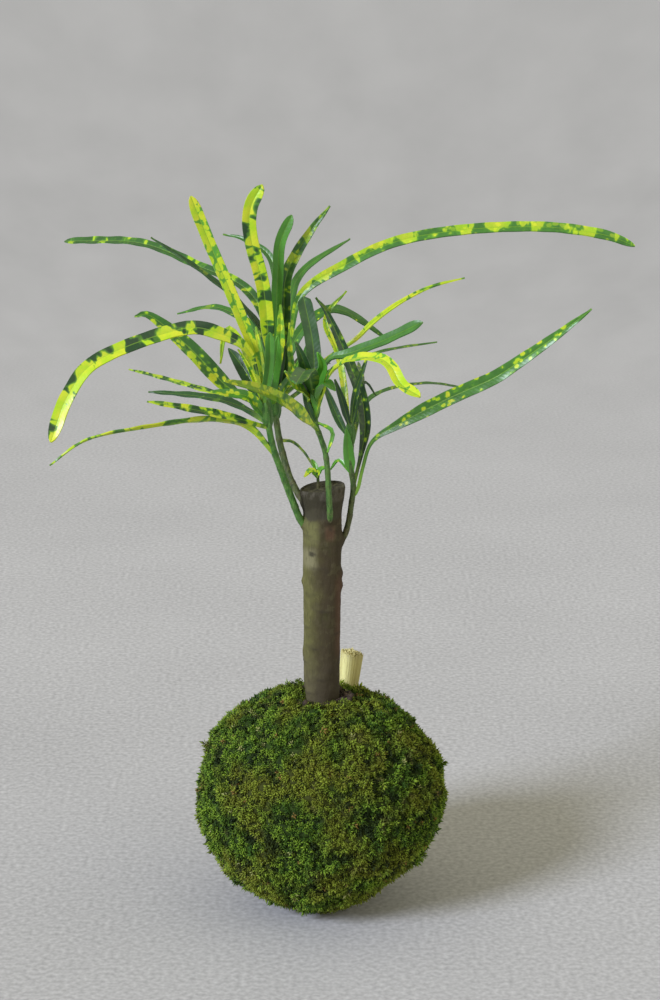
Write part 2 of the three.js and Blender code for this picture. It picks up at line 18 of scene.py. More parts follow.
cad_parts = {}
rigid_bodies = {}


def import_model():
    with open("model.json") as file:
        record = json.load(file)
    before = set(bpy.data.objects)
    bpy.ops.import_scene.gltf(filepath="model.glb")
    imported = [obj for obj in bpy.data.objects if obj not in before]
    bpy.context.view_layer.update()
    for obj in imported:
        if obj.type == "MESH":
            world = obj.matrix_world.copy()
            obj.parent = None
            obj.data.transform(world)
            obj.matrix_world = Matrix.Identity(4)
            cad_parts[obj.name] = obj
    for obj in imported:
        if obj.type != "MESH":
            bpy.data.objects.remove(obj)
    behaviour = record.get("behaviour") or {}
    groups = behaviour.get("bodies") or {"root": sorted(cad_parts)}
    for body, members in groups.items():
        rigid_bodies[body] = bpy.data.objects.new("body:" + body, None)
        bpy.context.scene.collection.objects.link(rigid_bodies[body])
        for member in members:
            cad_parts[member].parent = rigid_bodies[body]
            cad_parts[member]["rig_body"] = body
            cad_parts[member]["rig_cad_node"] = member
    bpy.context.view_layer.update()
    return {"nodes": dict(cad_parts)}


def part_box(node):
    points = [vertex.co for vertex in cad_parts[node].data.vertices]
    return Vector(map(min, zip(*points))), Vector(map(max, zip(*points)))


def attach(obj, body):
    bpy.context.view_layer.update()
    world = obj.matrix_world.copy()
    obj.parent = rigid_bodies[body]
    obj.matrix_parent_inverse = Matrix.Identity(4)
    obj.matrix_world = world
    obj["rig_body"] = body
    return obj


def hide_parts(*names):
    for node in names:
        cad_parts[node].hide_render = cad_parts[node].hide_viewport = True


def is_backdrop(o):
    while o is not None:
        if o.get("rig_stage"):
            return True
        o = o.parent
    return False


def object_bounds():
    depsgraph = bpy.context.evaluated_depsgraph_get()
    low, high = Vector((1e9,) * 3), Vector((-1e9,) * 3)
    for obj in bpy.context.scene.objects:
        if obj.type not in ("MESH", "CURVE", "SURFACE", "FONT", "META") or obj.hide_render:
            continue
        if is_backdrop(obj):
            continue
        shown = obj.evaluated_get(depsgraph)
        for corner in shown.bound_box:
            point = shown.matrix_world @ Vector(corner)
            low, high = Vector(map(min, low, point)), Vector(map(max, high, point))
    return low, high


bpy.ops.object.select_all(action="SELECT")
bpy.ops.object.delete()
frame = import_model()
MM = 0.001
print("solids:", ", ".join(sorted(frame["nodes"])))

# %% [markdown]
# ## The camera
# A portrait lens from one metre away keeps the leaves from looking stretched. The camera stands a little
# above the plant and looks down by 15 degrees, straight along +Y, with no shift and no depth of field,
# so that the same camera can be carried round to the other sides.
#
# An operator acts on all that is selected, so added() first makes sure that nothing is.

# %% Place the camera
LENS_MM = 85
SENSOR_MM = 36
CAMERA_MM = Vector((4, -980.4, 449.7))
CAMERA_DOWN_DEG = 15


def added(operator, **settings):
    """Adds one object with nothing else selected, and returns it."""
    bpy.ops.object.select_all(action="DESELECT")
    operator(**settings)
    return bpy.context.object


tilt = (math.radians(90 - CAMERA_DOWN_DEG), 0, 0)
camera = added(bpy.ops.object.camera_add, location=CAMERA_MM * MM, rotation=tilt)
camera.name = "camera"
camera.data.lens = LENS_MM
camera.data.sensor_width = SENSOR_MM
bpy.context.scene.camera = camera
print("camera at", [round(v, 3) for v in camera.location])

# %% [markdown]
# ## Shader maths as plain sums
# A procedural material is mostly arithmetic. Blender does that arithmetic with Math nodes, which are slow
# to wire one by one. The class Wire stands for one output of a node and knows the usual operators, so
# that `1 - mask * 0.5` adds the nodes that work it out. Finish is a material that is being made: its
# node() adds any kind of node, sets it up, fills its sockets and hands back one output as a Wire.


# %% Wires and finishes
class Wire:
    """One output of a shader node. Sums of wires and numbers add the Math nodes that they need."""

    def __init__(self, finish, socket):
        self.finish, self.socket = finish, socket

    def math(self, operation, *values):
        return self.finish.node("ShaderNodeMath", {"operation": operation}, dict(enumerate(values)))

    def __add__(self, other):
        return self.math("ADD", self, other)

    def __sub__(self, other):
        return self.math("SUBTRACT", self, other)

    def __rsub__(self, other):
        return self.math("SUBTRACT", other, self)

    def __mul__(self, other):
        return self.math("MULTIPLY", self, other)

    def __rtruediv__(self, other):
        return self.math("DIVIDE", other, self)

    def __abs__(self):
        return self.math("ABSOLUTE", self)

    __radd__, __rmul__ = __add__, __mul__

    def rise(self, low, high):
        """0 at low and 1 at high, with a soft start and end. low may be above high, for a fall."""
        span = {"Value": self, "From Min": low, "From Max": high}
        return self.finish.node("ShaderNodeMapRange", {"interpolation_type": "SMOOTHSTEP"}, span)


class Finish:
    """A material while it is made, round the shader that Blender gives every new material."""

    def __init__(self, name):
        self.material = bpy.data.materials.new(name)
        self.material.use_nodes = True
        self.tree = self.material.node_tree
        self.shader = self.tree.nodes["Principled BSDF"]

    def node(self, kind, settings=None, values=None, output=0):
        made = self.tree.nodes.new(kind)
        for key, value in (settings or {}).items():
            setattr(made, key, value)
        for key, value in (values or {}).items():
            self.fill(made.inputs[key], value)
        return Wire(self, made.outputs[output])

    def fill(self, socket, value):
        if isinstance(value, Wire):
            self.tree.links.new(value.socket, socket)
        else:
            socket.default_value = value

    def stretched(self, where, *scale):
        return self.node("ShaderNodeMapping", values={"Vector": where, "Scale": scale})

    def place(self, *scale):
        """The point on the object in metres, with each axis multiplied by its scale."""
        where = self.node("ShaderNodeTexCoord", output="Object")
        return self.stretched(where, *scale) if scale else where

    def axis(self, where, name):
        return self.node("ShaderNodeSeparateXYZ", values={"Vector": where}, output=name)

    def vector(self, operation, *values, output=0):
        return self.node("ShaderNodeVectorMath", {"operation": operation}, dict(enumerate(values)), output)

    def drawn(self, name):
        """A value that was stored on the mesh, point by point."""
        return self.node("ShaderNodeAttribute", {"attribute_name": name}, output="Fac")

    def noise(self, where, scale, detail=2.0, roughness=0.5, distortion=0.0):
        values = {"Vector": where, "Scale": scale, "Detail": detail, "Roughness": roughness}
        return self.node("ShaderNodeTexNoise", values={**values, "Distortion": distortion})

    def cells(self, where, scale):
        return self.node("ShaderNodeTexVoronoi", values={"Vector": where, "Scale": scale}, output="Distance")

    def mix(self, share, first, second):
        """A colour from first to second. In a Mix node, socket 0 is the share and 6 and 7 are the colours."""
        return self.node("ShaderNodeMix", {"data_type": "RGBA"}, {0: share, 6: first, 7: second}, output=2)

    def bump(self, height, distance):
        return self.node("ShaderNodeBump", values={"Strength": 1.0, "Distance": distance, "Height": height})

    def paint(self, **sockets):
        """Fills sockets of the shader. Base_Color stands for the socket named Base Color."""
        for name, value in sockets.items():
            self.fill(self.shader.inputs[name.replace("_", " ")], value)
        return self.material


def rgb(red, green, blue):
    return (red, green, blue, 1.0)


# %% [markdown]
# ## The studio floor
# The photograph was taken on a pale grey cloth. A floor so wide that it fills the frame does the same as a
# cloth that curves up, and it also works when the camera goes round the back.
#
# Near the plant the cloth shows its weave and some soft clouds. Far away a level floor is seen almost edge
# on, where flat clouds would shrink to stripes. So the far clouds are read at a point that follows the view:
# its bearing from the plant, and how far below the horizon it is seen. The far part is painted a little
# darker, as shade where less light falls.

# %% Lay the cloth
FLOOR_WIDTH = 60
CLOTH_GREY = 0.49
WEAVE_SCALE, WEAVE_STRENGTH = 420.0, 0.34
CLOUD_SCALE, FAR_CLOUD_SCALE, CLOUD_STRENGTH = 7.0, 26.0, 0.10
EYE_HEIGHT = 0.45
FAR_FROM_TO = (0.4, 1.6)  # metres from the plant, over which the far look takes over
# painted shade: how far away the floor starts and stops getting darker, and by how much
FAR_SHADE_FROM_TO, FAR_SHADE_BY = (0.3, 2.2), 0.045

floor = added(bpy.ops.mesh.primitive_plane_add, size=FLOOR_WIDTH)
floor.name = "studio_floor"
cloth = Finish("studio cloth")
point = cloth.place()
away = cloth.vector("LENGTH", point, output="Value")
below = cloth.node("ShaderNodeCombineXYZ", values={"Z": EYE_HEIGHT / away})
seen = cloth.vector("ADD", cloth.vector("NORMALIZE", point), below)
far = away.rise(*FAR_FROM_TO)
weave = cloth.noise(point, WEAVE_SCALE, detail=1.0) * (1 - far) + far * 0.5
near_clouds = cloth.noise(point, CLOUD_SCALE, detail=3.0)
far_clouds = cloth.noise(seen, FAR_CLOUD_SCALE, detail=3.0)
clouds = near_clouds * (1 - far) + far_clouds * far
# the far floor is darkened here as painted shade
mottle = clouds * CLOUD_STRENGTH + weave * WEAVE_STRENGTH - away.rise(*FAR_SHADE_FROM_TO) * FAR_SHADE_BY
mottle = mottle + (CLOTH_GREY - (CLOUD_STRENGTH + WEAVE_STRENGTH) / 2)
grey = cloth.node("ShaderNodeCombineColor", values={"Red": mottle, "Green": mottle, "Blue": mottle})
floor.data.materials.append(cloth.paint(Base_Color=grey, Roughness=0.95, Specular_IOR_Level=0.1))
floor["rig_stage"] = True
print("floor:", FLOOR_WIDTH, "metres wide")

# %% [markdown]
# ## The studio light
# The shadow in the photograph is soft and falls to the right and the back, so one large lamp or window was
# at the left front. A sun with a wide disc gives the same shadow. An even and slightly warm sky fills it
# in, and a weak low light from the right keeps the far side of the ball from going black.

# %% Hang the lights
SKY_COLOUR = (0.505, 0.482, 0.385)
# Where each light comes from, the width of its disc in degrees, its strength and its colour.
LIGHTS = {
    "soft_sun": (Vector((-0.74, -0.68, 0.54)), 18, 3.0, (0.93, 0.975, 1.18)),
    "low_fill": (Vector((0.85, -0.50, 0.13)), 70, 0.95, (1.0, 0.95, 0.80)),
}

for name, (direction, disc_deg, strength, colour) in LIGHTS.items():
    light = added(bpy.ops.object.light_add, type="SUN", rotation=direction.to_track_quat("Z", "Y").to_euler())
    light.name = name
    light.data.angle = math.radians(disc_deg)
    light.data.energy = strength
    light.data.color = colour
    print(name, "comes down at", round(math.degrees(math.asin(direction.normalized().z))), "degrees")

sky = bpy.data.worlds.new("studio sky")
sky.use_nodes = True
sky.node_tree.nodes["Background"].inputs["Color"].default_value = rgb(*SKY_COLOUR)
bpy.context.scene.world = sky
bpy.context.scene.view_settings.view_transform = "Standard"

# %% [markdown]
# ## Working with operators
# Each step starts by selecting only what it should touch. A mesh's points are read into an array, moved
# there by a formula and written back. That is how a straight grid becomes an arched leaf. Faces and edges
# are picked by their place or their normal, because a script can't click on them.


# %% Helpers for modelling
def only(*pieces):
    """Selects these pieces and nothing else, with the first one active."""
    bpy.ops.object.select_all(action="DESELECT")
    for piece in pieces:
        piece.select_set(True)
    bpy.context.view_layer.objects.active = pieces[0]


def read_points(piece):
    points = np.empty(len(piece.data.vertices) * 3, np.float32)
    piece.data.vertices.foreach_get("co", points)
    return points.reshape(-1, 3).astype(float)


def write_points(piece, points):
    piece.data.vertices.foreach_set("co", np.asarray(points, np.float32).ravel())
    piece.data.update()


def store(piece, name, values):
    """Keeps a value for each point on the mesh, where a material can read it."""
    layer = piece.data.attributes.new(name, "FLOAT", "POINT")
    layer.data.foreach_set("value", np.broadcast_to(values, len(piece.data.vertices)).astype(np.float32))


def modify(piece, kind, **settings):
    """Adds a modifier, sets it and applies it."""
    only(piece)
    bpy.ops.object.modifier_add(type=kind)
    modifier = piece.modifiers[-1]
    for key, value in settings.items():
        setattr(modifier, key, value)
    bpy.ops.object.modifier_apply(modifier=modifier.name)


def join(pieces):
    only(*pieces)
    if len(pieces) > 1:
        bpy.ops.object.join()
    return bpy.context.object


def pick(piece, kind, wanted):
    """Selects the faces or edges that pass a test, and stays in edit mode. kind is FACE or EDGE."""
    only(piece)
    bpy.ops.object.mode_set(mode="EDIT")
    bpy.ops.mesh.select_mode(type=kind)
    bpy.ops.mesh.select_all(action="DESELECT")
    bpy.ops.object.mode_set(mode="OBJECT")
    for part in piece.data.polygons if kind == "FACE" else piece.data.edges:
        part.select = wanted(part)
    bpy.ops.object.mode_set(mode="EDIT")


def leave_edit_mode():
    bpy.ops.mesh.select_mode(type="VERT")
    bpy.ops.object.mode_set(mode="OBJECT")


def cut_into_rings(piece, rings):
    """Cuts the long edges of an upright cylinder, so that it can be bent and shaped all the way up."""

    def upright(edge):
        low, high = (piece.data.vertices[k].co.z for k in edge.vertices)
        return abs(high - low) > 0.5

    pick(piece, "EDGE", upright)
    bpy.ops.mesh.subdivide(number_cuts=rings - 1)
    leave_edit_mode()


def settle(piece, name, material, stands_for=(), smooth_deg=None):
    """Names a finished piece, gives it its material and seats it on the plant."""
    piece.name = piece.data.name = name
    piece.data.materials.clear()
    piece.data.materials.append(material)
    if smooth_deg:
        only(piece)
        bpy.ops.object.shade_smooth_by_angle(angle=math.radians(smooth_deg))
    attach(piece, "root")
    if stands_for:
        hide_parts(*stands_for)
    piece.data.calc_loop_triangles()
    print(f"{name}: {len(piece.data.loop_triangles)} triangles")
    return piece


def smooth(value, low, high):
    """0 below low, 1 above high, and a soft step between."""
    share = np.clip((np.asarray(value, float) - low) / (high - low), 0, 1)
    return share * share * (3 - 2 * share)


def mix(first, second, share):
    return first + (second - first) * share


def unit(vectors):
    return vectors / np.linalg.norm(vectors, axis=1, keepdims=True)


def lumps(points, size, seed):
    """Soft noise from -1 to 1 at each point, with lumps about as large as size."""
    shift = Vector((seed * 7.3, seed * 3.1, seed * 5.7))
    return np.array([noise.noise(Vector(p) / size + shift) for p in points])


# %% [markdown]
# ## The moss mat
# Sheet moss is a thick felt with the living sprigs on top. The felt is modelled first, from a copy of the
# measured cover, so that it keeps the true size, the flat foot and the hole round the trunk. It is
# divided finely and thrown up into cushions and small tufts, with dark pockets between them.

# %% Copy the measured cover and roughen it
CUSHION_SIZE, CUSHION_RISE = 9 * MM, 0.9 * MM
CRUMPLE_SIZE, CRUMPLE_RISE = 2.6 * MM, 0.45 * MM
TUFT_SIZE, TUFT_RISE = 5.4 * MM, 2.0 * MM
FELT_SUNK = 1.9 * MM  # so that the sprigs, and not the felt, end at the measured surface
FOOT_BLEND = 3 * MM
BALL_CENTRE = np.array([0, 0, 51]) * MM
BALL_MEAN = 53 * MM  # its radius, more or less
OUTWARD = 0.4  # the cosine past which a face looks away from the middle and is no lining or hole
WELD = 0.01 * MM


def tufts(points):
    """How high the mat is thrown up over each point, from about -1 to 1. Small tufts stand on large ones."""
    on_ball = unit(points - BALL_CENTRE) * BALL_MEAN
    return lumps(on_ball, TUFT_SIZE, 4) + 0.5 * lumps(on_ball, TUFT_SIZE / 2, 6)


def outer_skin(piece):
    """The corners of each triangle of the ball's outside, and its normal, twice as long as its area."""
    points = read_points(piece)
    piece.data.calc_loop_triangles()
    corners = np.array([t.vertices[:] for t in piece.data.loop_triangles])
    a, b, c = (points[corners[:, k]] for k in range(3))
    facing, out = np.cross(b - a, c - a), a - BALL_CENTRE
    lengths = np.linalg.norm(facing, axis=1) * np.linalg.norm(out, axis=1)
    outside = (facing * out).sum(1) > OUTWARD * lengths
    return corners[outside], facing[outside]


only(frame["nodes"]["moss_cover"])
bpy.ops.object.duplicate()
felt = bpy.context.object
felt.parent = None
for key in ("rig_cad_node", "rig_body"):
    del felt[key]
bpy.ops.object.mode_set(mode="EDIT")
bpy.ops.mesh.select_all(action="SELECT")
bpy.ops.mesh.remove_doubles(threshold=WELD)
bpy.ops.object.mode_set(mode="OBJECT")
modify(felt, "SUBSURF", subdivision_type="SIMPLE", levels=2, render_levels=2)

points = read_points(felt)
free = np.zeros(len(points))
free[outer_skin(felt)[0].ravel()] = 1
free *= smooth(points[:, 2], 0, FOOT_BLEND)
swell = CUSHION_RISE * lumps(points, CUSHION_SIZE, 1) + CRUMPLE_RISE * lumps(points, CRUMPLE_SIZE, 2)
swell += TUFT_RISE * tufts(points) - FELT_SUNK
write_points(felt, points + unit(points - BALL_CENTRE) * (swell * free)[:, None])
print("felt points pushed:", int((free > 0).sum()))

# %% [markdown]
# ## The colours of moss
# Moss is never one green. Wet shoots are deep green, older ones olive, dead ones brown, and the newest
# tips are yellow-green. Each sprig keeps a value of its own between deep and fresh green. Patches as wide
# as a thumb are laid over that, then a lighter tip, and then a dark tint of painted shade for the sprigs
# that stand in the pockets, where little light gets in. A few sprigs are dry straw or rust. The felt wears
# the same colours, only much darker: partly its own dead brown, and partly painted shade under the sprigs.

# %% Mix the moss finishes
MOSS = {
    "deep": (0.036, 0.088, 0.009),
    "fresh": (0.142, 0.280, 0.018),
    "olive": (0.215, 0.222, 0.021),
    "wet": (0.055, 0.165, 0.030),
    "dead": (0.150, 0.125, 0.045),
    "tip": (0.380, 0.500, 0.055),
    "pocket": (0.011, 0.022, 0.006),
    "rust": (0.270, 0.170, 0.045),
    "straw": (0.380, 0.400, 0.145),
}
# The colour of each kind of patch, the scale and detail of its noise, the levels over which it comes in,
# and how strong it gets.
MOSS_PATCHES = (
    ("olive", 52.0, 3.0, (0.41, 0.63), 0.7),
    ("wet", 90.0, 2.0, (0.60, 0.70), 0.3),
    ("dead", 130.0, 2.0, (0.60, 0.72), 0.55),
)
# The levels of a sprig's height over which painted shade darkens a pocket, and those of its kind for rust and
# straw.
POCKET_SHADE, RUST, STRAW = (0.50, 0.27), (0.985, 0.987), (0.9955, 0.9965)


def moss_finish(name, depth, sprigs):
    """The moss in its full colours at depth 1, and darker as depth falls, which paints shade."""
    f = Finish(name)
    where = f.place()
    tint = {key: rgb(*(depth * part for part in colour)) for key, colour in MOSS.items()}
    own = f.drawn("own") if sprigs else f.noise(where, 700.0)
    tip = f.drawn("tip") if sprigs else f.noise(where, 900.0) * 0.3
    colour = f.mix(own.rise(0.1, 0.9), tint["deep"], tint["fresh"])
    for key, scale, detail, levels, strength in MOSS_PATCHES:
        patch = f.noise(where, scale, detail=detail).rise(*levels)
        colour = f.mix(patch * strength, colour, tint[key])
    colour = f.mix(tip * tip * own.rise(0.2, 1.0) * 0.65, colour, tint["tip"])
    if sprigs:
        kind = f.drawn("kind")
        # painted shade: sprigs that stand low in the pockets turn dark
        colour = f.mix(f.drawn("high").rise(*POCKET_SHADE) * 0.93, colour, tint["pocket"])
        colour = f.mix(kind.rise(*RUST), colour, tint["rust"])
        colour = f.mix(kind.rise(*STRAW), colour, tint["straw"])
    grain = f.bump(f.noise(where, 1800.0, detail=1.0), 0.15 * MM)
    return f.paint(Base_Color=colour, Roughness=0.82, Specular_IOR_Level=0.25, Normal=grain)


# the felt is darker: partly its own dead brown, and partly painted shade under the sprigs
felt_finish = moss_finish("moss felt", 0.22, sprigs=False)
sprig_finish = moss_finish("moss sprigs", 1.0, sprigs=True)
settle(felt, "moss_felt", felt_finish, ["moss_cover"], smooth_deg=60)

# %% [markdown]
# ## One sprig of moss
# A sprig is a short stem with tiny leaves set round it in a spiral, two fifths of a turn apart. It could be
# a flat card with a picture, but a card has no thickness and no shadow of its own. A three-sided cone whose
# base is poked out to a second point is the smallest closed solid that is widest in its middle: it has six
# triangles. Squashed, it is a good moss leaf, and six of them make the sprig.

# %% Model one sprig
SPRIG_HEIGHT = 2.2 * MM
LEAFLET_LENGTH = 1.55 * MM
LEAFLET_WIDTH = 0.40 * MM  # half of it
LEAFLET_WIDEST = 0.4  # of the way up the leaflet
LEAFLET_FLATNESS = 0.4
LEAFLETS = 5  # round the stem, and one more on its tip
LEAFLET_STEP_DEG = 144
LEAFLET_OPEN_DEG = (64, 40)  # from the stem, for the lowest and the highest
LEAFLET_FEET = (0.05, 0.55)  # the share of the stem at which they sit
TIP_LEAFLET = (0.45, 8, 0, 1.1)  # its foot as a share of the stem, how far it opens, its turn and its size


def model_leaflet(foot, open_deg, turn_deg, size):
    """One leaflet. It leaves the stem at the share foot of its height and leans away from it by open_deg."""
    point, below = LEAFLET_LENGTH * (1 - LEAFLET_WIDEST), LEAFLET_LENGTH * LEAFLET_WIDEST
    made = added(bpy.ops.mesh.primitive_cone_add, vertices=3, radius1=LEAFLET_WIDTH, depth=point,
                 location=(0, 0, point / 2))
    bpy.ops.object.transform_apply()
    pick(made, "FACE", lambda face: face.normal.z < -0.9)
    bpy.ops.mesh.poke(offset=below)
    leave_edit_mode()
    shape = read_points(made) + (0, 0, below)
    write_points(made, shape * size * (1, LEAFLET_FLATNESS, 1))
    made.rotation_euler = (math.radians(open_deg), 0, math.radians(turn_deg))
    made.location = (0, 0, SPRIG_HEIGHT * foot)
    bpy.ops.object.transform_apply()
    return made


def take_apart(piece):
    """The points and faces of a model that is to be copied many times. The model itself is removed."""
    points = read_points(piece)
    faces = np.array([face.vertices[:] for face in piece.data.polygons])
    bpy.data.objects.remove(piece)
    return points, faces


leaflets = [model_leaflet(*TIP_LEAFLET)]
for k in range(LEAFLETS):
    share = k / LEAFLETS
    foot, open_deg = mix(*LEAFLET_FEET, share), mix(*LEAFLET_OPEN_DEG, share)
    leaflets.append(model_leaflet(foot, open_deg, k * LEAFLET_STEP_DEG, 1.0))
sprig_points, sprig_faces = take_apart(join(leaflets))
print("one sprig:", len(sprig_faces), "triangles")

# %% [markdown]
# ## Sowing the moss
# The sprigs are sown over the felt at even steps of its area, so that no spot is left bare. Some more creep
# over the soil at the trunk's foot: a low fringe in front of it, and at its left a slope that climbs a
# centimetre up the bark. To the right of the trunk the soil stays bare.

# %% Sow the sprigs
SPRIG_COUNT = 21000
# How many sprigs creep over the soil, between which bearings, how far out, and how high up the bark.
CREEP = ((340, -178, -48, 14 * MM, 0.0), (420, 148, 222, 19 * MM, 10.5 * MM))
CREEP_FROM = 8 * MM
CREEP_SLOPE = 0.22  # how fast their ground rises away from the trunk
NO_SPRIG_BELOW = 1.0 * MM
SOIL_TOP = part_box("soil_ball")[1].z
rng = np.random.default_rng(11)

corners, facing = outer_skin(felt)
a, b, c = (read_points(felt)[corners[:, k]] for k in range(3))
weight = np.cumsum(np.linalg.norm(facing, axis=1) / 2 * (a[:, 2] > NO_SPRIG_BELOW))
even_steps = (np.arange(SPRIG_COUNT) + rng.random(SPRIG_COUNT)) / SPRIG_COUNT
chosen = np.searchsorted(weight, even_steps * weight[-1])
u, v = rng.random((2, SPRIG_COUNT, 1))
u, v = np.where(u + v > 1, 1 - u, u), np.where(u + v > 1, 1 - v, v)
roots = a[chosen] + u * (b - a)[chosen] + v * (c - a)[chosen]

for count, low, high, far, climb in CREEP:
    share = rng.random(count)
    round_it = np.radians(mix(low, high, share))
    reach = rng.uniform(CREEP_FROM, far, count)
    slope = (far - reach) / (far - CREEP_FROM)
    climbed = climb * np.sin(np.pi * share) * slope * np.sqrt(rng.random(count))
    height = SOIL_TOP + CREEP_SLOPE * (reach - CREEP_FROM) + climbed
    roots = np.vstack([roots, np.stack([np.cos(round_it) * reach, np.sin(round_it) * reach, height], axis=1)])
creep = roots[SPRIG_COUNT:]
print("sprigs:", len(roots), "on", round(weight[-1] / MM**2), "square mm")

# %% [markdown]
# ## Turning and fusing the sprigs
# In each tuft the sprigs fan out from its middle, so each one leans down the slope of the mat under it. Its
# size, its turn and its colour values are drawn at random. They are fused into five pieces, one for each
# fifth of the way round, because one mesh of them all would be too heavy to handle.

# %% Turn each sprig and fuse them
SECTORS = 5
FAN, DROOP, SHAKE = 0.6, 0.15, 0.36
SIZE_LOW, SIZE_HIGH = 0.75, 1.25
PROUD_SHARE = 0.05  # of the sprigs, which stand out from the rest
PROUD_SIZE = 1.55
FLOOR_SIZE, FLOOR_TO = 0.5, 10 * MM  # of the sprigs next to the floor, which are pressed flat
MOUTH_SIZE, MOUTH_FROM_TO = 0.65, (11 * MM, 18 * MM)  # of those round the trunk
CREEP_STAND = 14 * MM  # how upright those on the soil stand, against their distance from the axis
OFF_FLOOR = 0.05 * MM
SLOPE_STEP = 0.2 * MM
OWN_SIZE, OWN_SPREAD, HIGH_SPREAD = 5 * MM, 0.22, 0.08


def fused(name, shapes, faces, **values):
    """One mesh of many copies: the points of each copy, the faces of one, and values for the points."""
    count, corners = shapes.shape[:2]
    indices = (faces[None] + np.arange(count)[:, None, None] * corners).astype(np.int32).ravel()
    mesh = bpy.data.meshes.new(name)
    mesh.vertices.add(count * corners)
    mesh.vertices.foreach_set("co", shapes.astype(np.float32).ravel())
    mesh.loops.add(indices.size)
    mesh.loops.foreach_set("vertex_index", indices)
    mesh.polygons.add(count * len(faces))
    mesh.polygons.foreach_set("loop_start", np.arange(0, indices.size, 3, dtype=np.int32))
    mesh.update(calc_edges=True)
    piece = bpy.data.objects.new(name, mesh)
    bpy.context.scene.collection.objects.link(piece)
    for key, value in values.items():
        store(piece, key, np.broadcast_to(value, (count, corners)).ravel())
    return piece


total = len(roots)
normals = unit(np.vstack([facing[chosen], creep * (1, 1, 0) + (0, 0, CREEP_STAND)]))
high = tufts(roots)
steepness = [(tufts(roots + SLOPE_STEP * way) - high) / SLOPE_STEP * TUFT_RISE for way in np.eye(3)]
slope = np.stack(steepness, axis=1)
slope -= normals * (slope * normals).sum(1, keepdims=True)
stem = unit(normals - FAN * slope - np.array([0, 0, DROOP]) + rng.normal(0, SHAKE, (total, 3)))
across = unit(np.cross(stem, rng.normal(size=(total, 3))))
frames = np.stack([across, np.cross(stem, across), stem], axis=1)
size = rng.uniform(SIZE_LOW, SIZE_HIGH, total) * np.where(rng.random(total) < PROUD_SHARE, PROUD_SIZE, 1)
size *= mix(FLOOR_SIZE, 1, smooth(roots[:, 2], 0, FLOOR_TO))
size *= mix(MOUTH_SIZE, 1, smooth(np.hypot(*roots.T[:2]), *MOUTH_FROM_TO))
placed = roots[:, None] + size[:, None, None] * np.einsum("pk,nkd->npd", sprig_points, frames)
placed[:, :, 2] = np.maximum(placed[:, :, 2], OFF_FLOOR)
values = {
    "own": np.clip(0.5 + 0.5 * lumps(roots, OWN_SIZE, 8) + rng.normal(0, OWN_SPREAD, total), 0, 1),
    "high": np.clip(0.5 + 0.6 * high + rng.normal(0, HIGH_SPREAD, total), 0, 1),
    "kind": rng.random(total),
}
tip = np.clip(sprig_points[:, 2] / SPRIG_HEIGHT, 0, 1)

bearing = np.arctan2(roots[:, 1], roots[:, 0]) / (2 * np.pi) + 0.5
for sector in range(SECTORS):
    inside = np.flatnonzero(np.minimum((bearing * SECTORS).astype(int), SECTORS - 1) == sector)
    stored = {key: value[inside, None] for key, value in values.items()}
    patch = fused("sprigs", placed[inside], sprig_faces, tip=tip, **stored)
    settle(patch, f"moss_sprigs_{sector + 1}", sprig_finish)

# %% [markdown]
# ## Soil at the trunk's foot
# The moss stops short of the trunk, and a ring of dark soil shows there. The measured soil ball keeps its
# shape and gets a rough earthy finish, and loose crumbs are strewn over its top. A crumb is an icosphere
# of twenty faces whose corners are pulled about, so that no two are alike.

# %% Finish the soil and strew the crumbs
CRUMB_COUNT = 420
CRUMB_LOW, CRUMB_HIGH = 0.5 * MM, 1.5 * MM
CRUMB_PULL, PULL_LIMIT = 0.35, 1.5
RING_IN, RING_OUT = 8.2 * MM, 13.5 * MM
RIM_FROM, RIM_RISE = 11 * MM, 1.2 * MM  # the crumbs lie higher where the moss begins
CRUMB_HEIGHTS = (-0.6, 1.0)  # mm from the top of the soil


def soil_finish():
    f = Finish("damp soil")
    where = f.place()
    grain = f.noise(where, 420.0, detail=4.0, roughness=0.65)
    wet, dry, dusty = rgb(0.014, 0.010, 0.007), rgb(0.068, 0.043, 0.027), rgb(0.13, 0.09, 0.060)
    colour = f.mix(grain.rise(0.35, 0.7), wet, dry)
    colour = f.mix(f.noise(where, 260.0).rise(0.62, 0.7), colour, dusty)
    return f.paint(Base_Color=colour, Roughness=0.92, Normal=f.bump(grain, 0.5 * MM))


earth = soil_finish()
frame["nodes"]["soil_ball"].data.materials.clear()
frame["nodes"]["soil_ball"].data.materials.append(earth)

crumb = added(bpy.ops.mesh.primitive_ico_sphere_add, subdivisions=1, radius=1)
crumb_points, crumb_faces = take_apart(crumb)
turn = rng.uniform(0, 2 * np.pi, CRUMB_COUNT)
distance = rng.uniform(RING_IN, RING_OUT, CRUMB_COUNT)
height = SOIL_TOP + rng.uniform(*CRUMB_HEIGHTS, CRUMB_COUNT) * MM
height += smooth(distance, RIM_FROM, RING_OUT) * RIM_RISE
middles = np.stack([distance * np.cos(turn), distance * np.sin(turn), height], axis=1)
radii = CRUMB_LOW + (CRUMB_HIGH - CRUMB_LOW) * rng.random((CRUMB_COUNT, 1, 1)) ** 2
pulled = rng.normal(size=(CRUMB_COUNT, len(crumb_points), 1)).clip(-PULL_LIMIT, PULL_LIMIT)
shapes = crumb_points[None] * (1 + CRUMB_PULL * pulled)
crumbs = fused("crumbs", middles[:, None] + radii * shapes, crumb_faces)
settle(crumbs, "soil_crumbs", earth)

# %% [markdown]
# ## The trunk
# A croton's trunk is a plain post with thin bark, old leaf scars and a swelling wherever a shoot leaves it.
# The swellings are the shape that a viewer reads first, so they are modelled, and only the finest
# wrinkles are left to the material. It starts as a cylinder whose long edges are cut into many rings. Its
# top face is inset ring by ring, so that the saw cut can sink and get rough.

